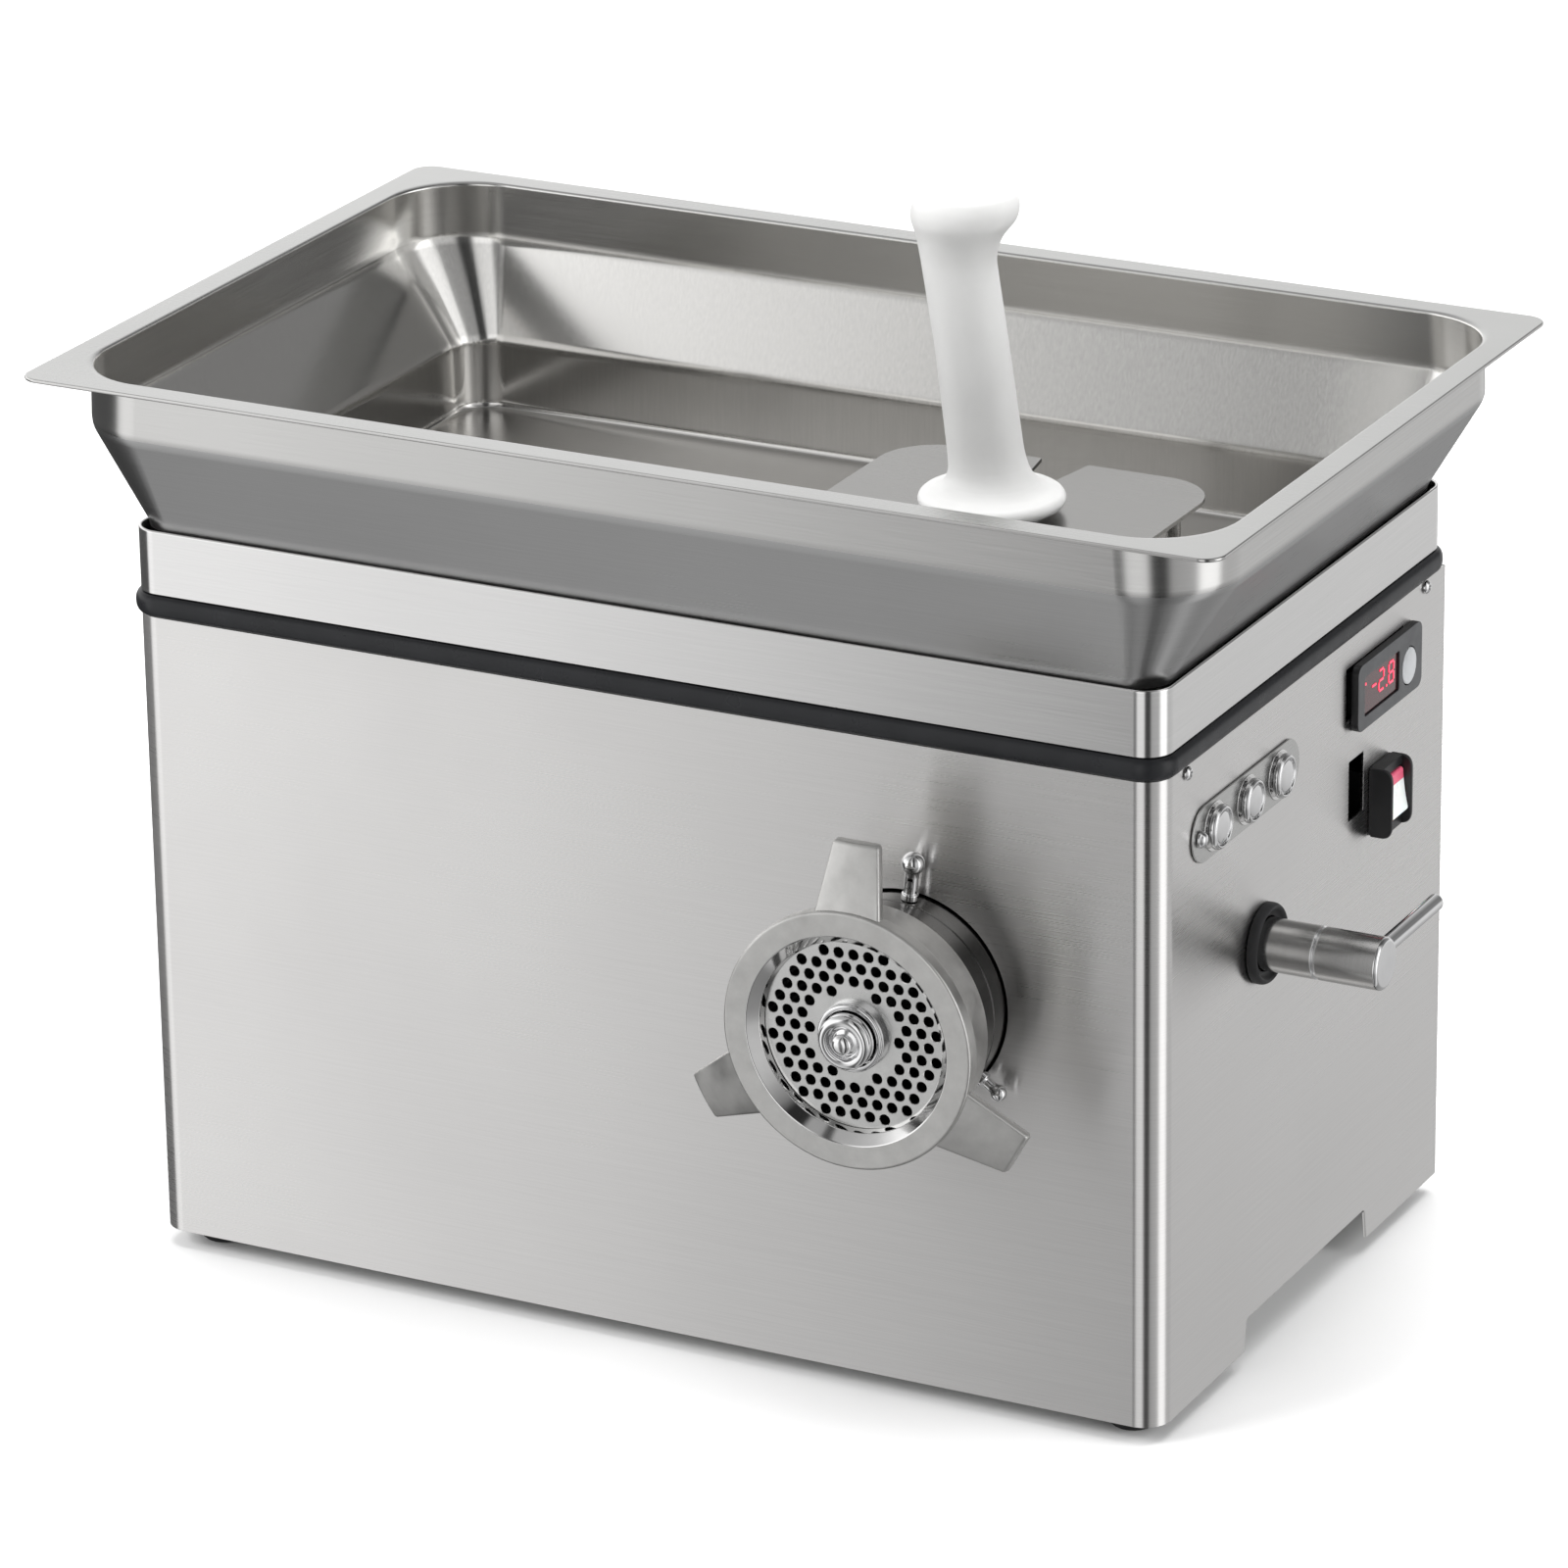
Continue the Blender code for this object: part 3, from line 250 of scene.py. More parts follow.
def combine(target, operation, *others):
    for other in others:
        change = target.modifiers.new("combine", "BOOLEAN")
        change.operation = operation
        change.solver = "EXACT"
        change.object = other
    bake(target)
    for other in others:
        bpy.data.objects.remove(other, do_unlink=True)
    return target


def cut(target, *others):
    return combine(target, "DIFFERENCE", *others)


def join(target, *others):
    return combine(target, "UNION", *others)


def soft_edges(obj, width, segments=2, angle=40):
    bevel = obj.modifiers.new("edges", "BEVEL")
    bevel.width = width * MM
    bevel.segments = segments
    bevel.limit_method = "ANGLE"
    bevel.angle_limit = radians(angle)
    bake(obj)
    return obj


def paint(obj, index, test):
    """Gives a second material to the faces whose middle, on the body, passes the test."""
    for face in obj.data.polygons:
        x, y, z = face.center
        if test(x / MM + BODY_X0, y / MM + BODY_Y0, z / MM, face.normal):
            face.material_index = index


def finish_piece(obj, materials, body, slot, *nodes, sharp=32):
    """Shades a piece and fixes it to a body in place of CAD nodes."""
    if not isinstance(materials, (list, tuple)):
        materials = [materials]
    keep = [face.material_index for face in obj.data.polygons]
    obj.data.materials.clear()
    for material in materials:
        obj.data.materials.append(material)
    for face, index in zip(obj.data.polygons, keep):
        face.material_index = min(index, len(materials) - 1)
    obj.data.shade_smooth()
    obj.data.set_sharp_from_angle(angle=radians(sharp))
    weights = obj.modifiers.new("weights", "WEIGHTED_NORMAL")
    weights.keep_sharp = True
    weights.weight = 100
    bake(obj)
    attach(obj, body)
    if nodes:
        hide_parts(*nodes)
    return obj


# ---- materials


class Finish:
    """A procedural material: its base is measured in metres on the body."""

    def __init__(self, name, colour, roughness, metallic=0.0, **constants):
        self.material = bpy.data.materials.new(name)
        self.material.use_nodes = True
        self.tree = self.material.node_tree
        self.shader = self.tree.nodes["Principled BSDF"]
        self.shader.inputs["Base Color"].default_value = (*colour, 1)
        self.shader.inputs["Roughness"].default_value = roughness
        self.shader.inputs["Metallic"].default_value = metallic
        self.colour = colour
        for key, value in constants.items():
            self.shader.inputs[key.replace("_", " ")].default_value = value
        self.coords = self.node("TexCoord")
        self.height = None

    def node(self, kind):
        return self.tree.nodes.new("ShaderNode" + kind)

    def link(self, output, socket):
        self.tree.links.new(output, socket)

    def noise(self, scale, stretch=(1, 1, 1), detail=3.0, rough=0.5):
        mapping = self.node("Mapping")
        mapping.inputs["Scale"].default_value = stretch
        self.link(self.coords.outputs["Object"], mapping.inputs["Vector"])
        noise = self.node("TexNoise")
        noise.inputs["Scale"].default_value = scale
        noise.inputs["Detail"].default_value = detail
        noise.inputs["Roughness"].default_value = rough
        self.link(mapping.outputs["Vector"], noise.inputs["Vector"])
        return noise.outputs["Fac"]

    def spread(self, value, low, high):
        node = self.node("MapRange")
        node.inputs["From Min"].default_value = 0.3
        node.inputs["From Max"].default_value = 0.7
        node.inputs["To Min"].default_value = low
        node.inputs["To Max"].default_value = high
        self.link(value, node.inputs["Value"])
        return node.outputs["Result"]

    def multiply(self, first, second):
        node = self.node("Math")
        node.operation = "MULTIPLY"
        self.link(first, node.inputs[0])
        self.link(second, node.inputs[1])
        return node.outputs[0]

    def tint(self, value, dark, light):
        """Colours the base by a value between two shades of its colour."""
        ramp = self.node("ValToRGB")
        ramp.color_ramp.elements[0].position = 0.3
        ramp.color_ramp.elements[1].position = 0.7
        ramp.color_ramp.elements[0].color = (*[c * dark for c in self.colour], 1)
        ramp.color_ramp.elements[1].color = (*[min(1, c * light) for c in self.colour], 1)
        self.link(value, ramp.inputs["Fac"])
        self.link(ramp.outputs["Color"], self.shader.inputs["Base Color"])
        return self

    def vary_roughness(self, value, low, high):
        self.link(self.spread(value, low, high), self.shader.inputs["Roughness"])
        return self

    def bump(self, value, strength, distance):
        node = self.node("Bump")
        node.inputs["Strength"].default_value = strength
        node.inputs["Distance"].default_value = distance
        self.link(value, node.inputs["Height"])
        if self.height is not None:
            self.link(self.height, node.inputs["Normal"])
        self.height = node.outputs["Normal"]
        self.link(self.height, self.shader.inputs["Normal"])
        return self

    def brushed(self, anisotropy):
        tangent = self.node("Tangent")
        tangent.direction_type = "RADIAL"
        tangent.axis = "Z"
        self.link(tangent.outputs["Tangent"], self.shader.inputs["Tangent"])
        self.shader.inputs["Anisotropic"].default_value = anisotropy
        self.shader.inputs["Anisotropic Rotation"].default_value = 0.25
        return self


def steel(name, colour, roughness, grain, anisotropy=0.0, lines=0.00002, cloud=0.04):
    """Sheet steel with a fine grain along one direction and faint clouding."""
    made = Finish(name, colour, roughness, 1.0)
    clouds = made.noise(5, detail=4)
    fine = made.noise(1, grain, detail=5, rough=0.6)
    made.tint(fine, 1 - cloud, 1 + cloud)
    grain_gloss = made.spread(fine, roughness * 0.92, roughness * 1.08)
    mixed = made.multiply(made.spread(clouds, 0.9, 1.12), grain_gloss)
    made.tree.links.new(mixed, made.shader.inputs["Roughness"])
    made.bump(fine, 0.25, lines)
    made.bump(made.noise(3.5, detail=1), 0.35, 0.0006)
    if anisotropy:
        made.brushed(anisotropy)
    return made.material


def plain_metal(name, colour, roughness, scale=60, bump=0.00001, spread=0.35):
    """Turned or cast metal: a fine random grain in its gloss, tone and surface."""
    made = Finish(name, colour, roughness, 1.0)
    grain = made.noise(scale, detail=5, rough=0.6)
    made.tint(grain, 0.94, 1.06)
    patches = made.noise(scale * 0.35, detail=4)
    made.vary_roughness(patches, roughness * (1 - spread), roughness * (1 + spread))
    made.bump(made.noise(scale * 12, detail=3), 0.3, bump)
    return made.material


def dull(name, colour, roughness, scale=900, bump=0.00004, mottle=0.15, **constants):
    """Rubber, plastic or paint: a fine pebble, small changes of tone and gloss."""
    made = Finish(name, colour, roughness, **constants)
    made.tint(made.noise(40, detail=4), 1 - mottle, 1 + mottle)
    made.vary_roughness(made.noise(90, detail=4), roughness * 0.85, min(1, roughness * 1.15))
    made.bump(made.noise(scale, detail=2), 0.35, bump)
    return made.material


WALL_STEEL = steel("wall_steel", (0.87, 0.86, 0.85), 0.3, (18, 18, 2200), anisotropy=0.94, lines=0.000006)
BAND_STEEL = steel("band_steel", (0.83, 0.825, 0.82), 0.2, (18, 18, 2200), anisotropy=0.6)
TRAY_STEEL = steel("tray_steel", (0.82, 0.81, 0.79), 0.15, (900, 900, 30), lines=0.000004)
# Painted shade: the tray's outer band is a darker copy of the tray steel.
TRAY_OUTSIDE_SHADE = steel("tray_outside_painted_shade", (0.66, 0.655, 0.645), 0.2, (18, 18, 1500), lines=0.000004)
# Painted light: the tray's inner upper band is a brighter copy of the tray steel.
TRAY_LIP_LIGHT = steel("tray_lip_painted_light", (0.97, 0.96, 0.94), 0.22, (18, 18, 1500), lines=0.000004)
# Painted shade: the tray floor is a darker copy of the tray steel.
TRAY_FLOOR_SHADE = steel("tray_floor_painted_shade", (0.50, 0.49, 0.475), 0.3, (14, 1500, 1500), lines=0.00001)
# Painted shade: the tray rim top is a darker copy of the tray steel.
RIM_SHADE = steel("rim_painted_shade", (0.66, 0.66, 0.65), 0.26, (14, 900, 900))
# Painted shade: the underside of the tray's outer flare is a darker copy of the tray steel.
FLARE_UNDERSIDE_SHADE = steel("flare_underside_painted_shade", (0.60, 0.60, 0.60), 0.3, (18, 18, 1500), lines=0.000003)
GUARD_STEEL = steel("guard_steel", (0.42, 0.415, 0.405), 0.28, (12, 1500, 1500))
PLATE_STEEL = steel("button_plate_steel", (0.62, 0.62, 0.61), 0.3, (20, 30, 2500), anisotropy=0.4)
CAST_STEEL = plain_metal("cast_steel", (0.68, 0.675, 0.66), 0.44, 130, 0.00003)
BARREL_STEEL = plain_metal("barrel_steel", (0.22, 0.217, 0.213), 0.2, 80, 0.00002)
POLISHED = plain_metal("polished_steel", (0.82, 0.815, 0.81), 0.09, 50)
CHROME = plain_metal("chrome", (0.84, 0.84, 0.845), 0.05, 40, 0.000004)
SATIN_CHROME = steel("satin_chrome", (0.66, 0.655, 0.645), 0.2, (2200, 30, 30), lines=0.00001)
DISC_STEEL = plain_metal("plate_steel", (0.80, 0.80, 0.79), 0.24, 90)
TOOL_STEEL = plain_metal("tool_steel", (0.20, 0.20, 0.205), 0.34, 90)
# Painted shade: near-black steel for the plate's hole walls and the knife behind them.
SHADE_BLACK_STEEL = plain_metal("painted_shade_black_steel", (0.05, 0.05, 0.052), 0.4, 90)
ZINC_STEEL = plain_metal("zinc_steel", (0.56, 0.57, 0.55), 0.42, 25)
ALUMINIUM = plain_metal("aluminium", (0.75, 0.76, 0.77), 0.38, 90)
COPPER = plain_metal("copper", (0.80, 0.42, 0.25), 0.28, 60)
RUBBER = dull("black_rubber", (0.014, 0.014, 0.015), 0.5, 1200, 0.00005, Specular_IOR_Level=0.35)
CORD_RUBBER = dull("gasket_rubber", (0.012, 0.0125, 0.014), 0.3, 1500, 0.00003, Specular_IOR_Level=0.3)
BLACK_PLASTIC = dull("black_plastic", (0.012, 0.012, 0.013), 0.36, 1500, 0.00004)
BEZEL_FACE = dull("bezel_face", (0.055, 0.057, 0.06), 0.42, 1600, 0.00004)
KEY_GREY = dull("key_grey", (0.36, 0.37, 0.38), 0.5, 1400, 0.00003)
ROCKER_WHITE = dull("rocker_white", (0.80, 0.79, 0.76), 0.3, 700, 0.00002, Subsurface_Weight=0.2)
ROCKER_RED = dull("rocker_red", (0.60, 0.10, 0.17), 0.3, 700, 0.00002)
GREY_PAINT = dull("grey_paint", (0.30, 0.33, 0.35), 0.42, 260, 0.00012)
BLACK_PAINT = dull("black_paint", (0.02, 0.02, 0.021), 0.3, 220, 0.00012)
BOARD = dull("board_green", (0.03, 0.18, 0.07), 0.38, 500, 0.00006)
RELAY = dull("relay_blue", (0.04, 0.12, 0.30), 0.4, 700, 0.00003)
GLASS = dull("display_glass", (0.035, 0.006, 0.008), 0.12, 60, 0.00001, Coat_Weight=0.6)
PESTLE_WHITE = dull(
    "pestle_polyethylene", (0.575, 0.575, 0.57), 0.42, 300, 0.00005, mottle=0.02,
    Subsurface_Weight=0.6, Subsurface_Scale=0.012, Subsurface_Radius=(1, 1, 1),
)


def lit(name, colour, strength):
    made = Finish(name, colour, 0.4)
    made.tint(made.noise(2000, detail=2), 0.8, 1.2)
    made.shader.inputs["Emission Color"].default_value = (*colour, 1)
    made.shader.inputs["Emission Strength"].default_value = strength
    return made.material


LED_RED = lit("led_red", (0.9, 0.06, 0.11), 1.0)


# ---- casing


def casing_wrap():
    """Front and sides in one bent sheet, with its holes and side notches."""
    back = BODY_DEPTH - 1.8

    def path(inset):
        radius = CORNER - inset
        left = arc(inset + radius, inset + radius, radius, 180, 270, 16)
        right = arc(BODY_WIDTH - inset - radius, inset + radius, radius, 270, 360, 16)
        return [(inset, back)] + left + right + [(BODY_WIDTH - inset, back)]

    wrap = prism("casing_sheet", path(0) + path(1.5)[::-1], BODY_BOTTOM, WRAP_TOP, (0, 0, 0), "Z")
    notch = soften([(98, 0, 0), (101, 26, 3), (244, 26, 3), (248, 0, 0)])
    cutters = [
        rod("c0", 53, -5, 5, HEAD, "Y", 96),
        rod("c1", 13.4, -5, 5, (BODY_WIDTH, *LEVER), "X", 48),
        side_prism("c2", notch, -5, BODY_WIDTH + 5),
        block("c3", (BODY_WIDTH - 5, 217.5, 241.5), (BODY_WIDTH + 5, 235.5, 272)),
        block("c4", (BODY_WIDTH - 5, 213, 294), (BODY_WIDTH + 5, 283, 321)),
    ]
    for index, y in enumerate((60, 97, 134)):
        cutters.append(rod(f"c{5 + index}", 8.5, -5, 5, (BODY_WIDTH, y, BUTTON_Z), "X", 32))
    cut(wrap, *cutters)
    soft_edges(wrap, 0.35, 2, 50)
    finish_piece(wrap, WALL_STEEL, "root", "stainless", "casing_wrap")


def rear_panel():
    """The back sheet with pressed louvres for the cooling air."""
    low = (0.2, BODY_DEPTH - 1.5, BODY_BOTTOM)
    panel = block("rear_sheet", low, (BODY_WIDTH - 0.2, BODY_DEPTH, WRAP_TOP))
    cutters = [rod("g", 8.3, -5, 5, CABLE_EXIT, "Y", 32)]
    for index in range(LOUVRES):
        low = 56 + LOUVRE_PITCH * index
        outline = round_rect(52, 212, low, low + 8, 2, 4)
        cutters.append(prism(f"s{index}", [(x, -z) for x, z in outline], -5, 5, (0, BODY_DEPTH, 0), "Y"))
    cut(panel, *cutters)
    soft_edges(panel, 0.3, 2, 50)
    finish_piece(panel, WALL_STEEL, "root", "stainless", "rear_panel")
    for index in range(LOUVRES):
        louvre(index)
    places = [(x, z) for x in (12, 538) for z in (26, 172, 318)] + [(275, 26), (275, 318)]
    for index, (x, z) in enumerate(places):
        cross_screw(f"rear_screw_{index}", (x, BODY_DEPTH + 0.05, z))


def louvre(index):
    """One pressed hood over a slot, open below."""
    low = 55.4 + LOUVRE_PITCH * index
    high = 66.5 + LOUVRE_PITCH * index
    loops = []
    for step in range(29):
        x = 50 + 164 * (step / 28)
        reach = min(x - 50, 214 - x)
        depth = 5.4 * sqrt(max(0.0, 1 - (1 - min(reach, 9) / 9) ** 2)) + 0.05
        outer = []
        inner = []
        for k in range(9):
            angle = radians(90 * k / 8)
            y = depth * cos(angle) ** 0.85
            z = low + (high - low) * sin(angle) ** 0.9
            outer.append((BODY_DEPTH + y, z))
            inner.append((BODY_DEPTH + max(0.0, y - 0.9) * 0.98 - 0.3, low + (z - low) * 0.93))
        loops.append([at(x, y, z) for y, z in outer + inner[::-1]])
    hood = skin(f"louvre_{index}", loops)
    finish_piece(hood, WALL_STEEL, "root", "stainless")


def cross_screw(name, centre):
    """A pan-head screw with a cross recess, in the back."""
    profile = [(0, 0, 0), (3.9, 0, 0), (3.9, 0.7, 0.3), (3.9 * 0.72, 1.9, 0.8), (0, 2.3, 0)]
    head = lathe(name, profile, centre, "Y", 32)
    for index, (a, b) in enumerate(((2.1, 0.4), (0.4, 2.1))):
        outline = [(-a, -b), (a, -b), (a, b), (-a, b)]
        cut(head, prism(f"x{index}", outline, 1.1, 4, centre, "Y"))
    finish_piece(head, CHROME, "root", "chrome")


def band_loops(profile):
    """Loops round the body for a profile of (outset, height)."""
    loops = []
    for outset, z in profile:
        outline = round_rect(-outset, BODY_WIDTH + outset, -outset, BODY_DEPTH + outset, CORNER + outset, 14)
        loops.append([at(x, y, z) for x, y in outline])
    return loops


def upper_casing():
    profile = soften([(0, 347.4, 0.5), (0, 380, 1.0), (-1.5, 380, 0.6), (-1.5, 347.4, 0.3)], closed=True)
    band = skin("upper_band", band_loops(profile), closed=True)
    finish_piece(band, BAND_STEEL, "root", "stainless", "upper_casing")


def gasket():
    profile = [(-2.5, 336.1), (-2.5, 346.9)]
    for k in range(13):
        angle = radians(90 - 180 * k / 12)
        profile.append((-0.6 + 3.5 * cos(angle) ** 0.8, 341.5 + 5.4 * sin(angle)))
    cord = skin("gasket_cord", band_loops(profile), closed=True)
    finish_piece(cord, CORD_RUBBER, "root", "black_rubber", "casing_gasket", sharp=60)


def feet():
    profile = [
        (0, 1.2, 0), (5.5, 1.2, 0.5), (6.5, 0, 0.6), (10.4, 0, 0.8), (11.4, 1.2, 0.8), (12.6, 2.2, 0.6),
        (13.3, 7.6, 1.2), (11.6, 9.6, 0.8), (9, 12, 1.5), (9, 26, 0.4), (0, 26, 0),
    ]
    for side, x in (("left", 24), ("right", 526)):
        for end, y in (("front", 24), ("rear", 311)):
            foot = lathe(f"rubber_foot_{end}_{side}", profile, (x, y, 0), "Z", 48)
            finish_piece(foot, RUBBER, "root", "black_rubber", f"foot_{end}_{side}")


def side_screws():
    profile = [
        (0, 1.0, 0), (1.2, 1.0, 0.1), (1.4, 2.2, 0.2), (2.3, 1.95, 0.5), (3.35, 0.9, 0.4), (3.35, 0.05, 0),
        (0, 0.05, 0),
    ]
    for end, y in SIDE_SCREWS.items():
        screw = lathe(f"domed_screw_{end}", profile, (BODY_WIDTH + 0.3, y, SIDE_SCREW_Z), "X", 40)
        finish_piece(screw, CHROME, "root", "chrome", f"side_screw_{end}")


def base_plates():
    base = block("base_sheet", (1.9, CORNER, 26.6), (BODY_WIDTH - 1.9, BODY_DEPTH - 1.9, 28.4))
    soft_edges(base, 0.3, 2)
    finish_piece(base, ZINC_STEEL, "root", "zinc_plated_steel", "base_plate")
    deck = block("deck_sheet", (1.9, CORNER, 334.05), (BODY_WIDTH - 1.9, BODY_DEPTH - 1.9, 335.65))
    cut(deck, rod("d", 30, -20, 20, (HEAD_X, FEED_Y, 335), "Z", 64))
    soft_edges(deck, 0.3, 2)
    finish_piece(deck, ZINC_STEEL, "root", "zinc_plated_steel", "deck_plate")


# ---- tray


def tray_key(inset, z, radius, fold):
    return (-40.5 + inset, 590.5 - inset, -29.2 + inset, 364 - inset, radius, z, fold)


def body_key(inset, z, radius, fold):
    return (inset, BODY_WIDTH - inset, inset, BODY_DEPTH - inset, radius, z, fold)


def folded(keys, steps=5):
    """Level loops through the keys of a folded sheet; each fold is a short curve."""
    rows = []
    for i, key in enumerate(keys):
        place = Vector(key[:6])
        fold = key[6]
        if fold == 0:
            rows.append(place)
            continue
        before = Vector(keys[i - 1][:6]) - place
        after = Vector(keys[i + 1][:6]) - place
        reach = [hypot(d[0], d[5]) for d in (before, after)]
        start = place + before * min(0.48, fold / reach[0])
        end = place + after * min(0.48, fold / reach[1])
        rows += bend(start, place, end, steps)
    loops = []
    for x0, x1, y0, y1, radius, z in rows:
        loops.append([at(x, y, z) for x, y in round_rect(x0, x1, y0, y1, radius, 14)])
    return loops


def tray():
    keys = [
        body_key(4, 343.6, 18, 0),
        body_key(3, 381.2, 18, 3),
        tray_key(13.5, 430, 43, 4),
        tray_key(13.5, 457.7, 45, 1.2),
        tray_key(0.3, 457.7, 10, 0.3),
        tray_key(0, 458.6, 10, 0.4),
        tray_key(0.4, 459.6, 10, 0.4),
        tray_key(15, 459.6, 44, 1.8),
        tray_key(15, 430, 42, 4),
        body_key(4.6, 381.2, 20, 4),
        body_key(5.6, 345.1, 19, 5),
        body_key(12, 345.1, 13, 0),
    ]
    sheet = skin("tray_sheet", folded(keys))
    cut(sheet, rod("t", 28.3, -20, 20, (HEAD_X, FEED_Y, 345), "Z", 72))

    def outward(x, y, normal):
        return (x - BODY_X0) * normal.x + (y - TRAY_MIDDLE_Y) * normal.y > 0

    def band(z, normal):
        return z > TRAY_BAND_Z and abs(normal.z) < 0.5

    # Painted shade: darker steel on the underside of the outer flare.
    paint(sheet, 1, lambda x, y, z, normal: 376 < z < TRAY_BAND_Z and normal.z < -0.1)
    # Painted shade: darker steel on the tray floor.
    paint(sheet, 2, lambda x, y, z, normal: z < 346 and normal.z > 0.7)
    # Painted shade: darker steel on the rim top.
    paint(sheet, 3, lambda x, y, z, normal: z > 459 and normal.z > 0.7)
    # Painted shade: darker steel on the outer band.
    paint(sheet, 4, lambda x, y, z, normal: band(z, normal) and outward(x, y, normal))
    # Painted light: brighter steel on the inner upper band.
    paint(sheet, 5, lambda x, y, z, normal: band(z, normal) and not outward(x, y, normal))
    looks = [TRAY_STEEL, FLARE_UNDERSIDE_SHADE, TRAY_FLOOR_SHADE, RIM_SHADE, TRAY_OUTSIDE_SHADE, TRAY_LIP_LIGHT]
    finish_piece(sheet, looks, "tray", "stainless", "hopper_tray", sharp=50)


def feed_guard():
    outline = round_rect(-84, 84, -78, 80, 30, 14)
    plate = prism("guard_plate", outline, 417.5, 419.5, FEED, "Z")
    notch = soften([(-6, 42, 5), (6, 42, 5), (14, 90, 0), (-14, 90, 0)], closed=True)
    cut(
        plate,
        prism("n", notch, 400, 430, FEED, "Z"),
        rod("h", FEED_RADIUS, 400, 430, FEED, "Z", 72),
    )
    soft_edges(plate, 0.5, 3)
    profile = [(0, 345.5, 0), (4, 345.5, 0.5), (4, 350, 0), (3.6, 352, 0.5), (3.6, 418, 0), (0, 418, 0)]
    legs = []
    for index, (x, y) in enumerate(((-66, -60), (66, -60), (-66, 60), (66, 60))):
        legs.append(lathe(f"leg{index}", profile, (HEAD_X + x, FEED_Y + y, 0), "Z", 32))
    join(plate, *legs)
    finish_piece(plate, GUARD_STEEL, "tray", "stainless", "feed_guard")


def feed_tube():
    profile = [
        (FEED_RADIUS, 262.6, 0.4), (27.9, 262.6, 0.4), (27.9, 345.45, 2), (35.4, 345.45, 0.4),
        (35.4, 346.8, 0.5), (FEED_RADIUS, 346.8, 2.2),
    ]
    throat = lathe("throat_tube", profile, FEED, "Z", 72, ring=True)
    finish_piece(throat, TRAY_STEEL, "tray", "stainless", "feed_tube")


def pestle():
    """Plunger, stop disc and leaning handle in one polyethylene moulding."""
    keys = [
        (0, 292.1, 21.5, 0), (0, 295, 24.9, 2), (0, 422.5, 24.9, 0.6), (0, 423.6, 33.6, 0.9),
        (0, 426.2, 35.4, 1.6), (0, 429.6, 33.9, 1.8), (0, 432.4, 24.5, 3.5), (-1, 438.5, 19.4, 5),
        (-3, 448, 18.1, 5), (-10, 500, 17.5, 12), (-17.0, 543, 17.7, 5), (-16.2, 553, 20.2, 3.5),
        (-13.8, 562, 25.2, 3), (-12.6, 569, 25.4, 3.5), (-11.8, 575.9, 22, 3), (-11.4, 575.95, 9, 0),
    ]
    rows = []
    for i, key in enumerate(keys):
        place = Vector(key[:3])
        if key[3] == 0:
            rows.append(place)
            continue
        before = Vector(keys[i - 1][:3]) - place
        after = Vector(keys[i + 1][:3]) - place
        start = place + before * min(0.49, key[3] / before.length)
        end = place + after * min(0.49, key[3] / after.length)
        rows += bend(start, place, end, 5)
    loops = []
    for offset, z, radius in rows:
        loops.append([at(HEAD_X + x, FEED_Y + y, z) for x, y in arc(offset, 0, radius, 0, 354, 59)])
    made = skin("plunger", loops)
    finish_piece(made, PESTLE_WHITE, "pestle", "white_plastic", "pestle", sharp=50)


# ---- grinding head


def barrel():
    profile = [(49.3, -53.5, 0.3), (53.2, -53.5, 0.3)]
    y = -51.5
    while y < -31.5:
        profile += [(53.9, y, 0.15), (53.9, y + 0.8, 0.15), (52.5, y + 2, 0.15), (52.5, y + 2.6, 0.15)]
        y += 4
    profile += [
        (53.9, -29.6, 0.4), (52, -26, 1.5), (52, -13, 0), (51.6, -12.7, 0), (51.6, -11.9, 0), (52, -11.6, 0),
        (52, 150, 1.0), (16, 150, 0.4), (16, 141, 0.3), (45, 141, 3), (45, -33, 0.3), (49.3, -33, 0.4),
    ]
    body = lathe("barrel_casting", profile, HEAD, "Y", 96, ring=True, steps=3)
    cut(body, rod("b", FEED_RADIUS, 20, 80, (HEAD_X, FEED_Y, HEAD_Z), "Z", 72))
    finish_piece(body, BARREL_STEEL, "head", "cast_steel", "grinder_barrel")


def studs():
    for name, angle, ball, reach in (
        ("head_knob_stud", 83.5, 5.7, 70.5),
        ("locating_stud_right", -36.5, 4.2, 64.0),
        ("locating_stud_left", 203.5, 4.2, 64.0),
    ):
        neck = ball * 0.5
        profile = [
            (0, 52.3, 0), (4.1, 52.3, 0.3), (4.1, 55.2, 0.4), (neck + 0.5, 55.9, 0.3),
            (neck + 0.5, reach - ball * 1.1, 0.3),
        ]
        for k in range(1, 13):
            tilt = radians(-60 + 150 * k / 12)
            profile.append((max(0.0, ball * 0.98 * cos(tilt)), reach + ball * 0.98 * sin(tilt), 0))
        profile[-1] = (0, profile[-1][1], 0)
        made = lathe(name + "_ball", profile, (HEAD_X, -7, HEAD_Z), "Z", 40, steps=3)
        middle = at(HEAD_X, -7, HEAD_Z)
        turn = Matrix.Rotation(radians(90 - angle), 4, "Y")
        made.data.transform(Matrix.Translation(middle) @ turn @ Matrix.Translation(-middle))
        finish_piece(made, CHROME, "head", "chrome", name, sharp=50)


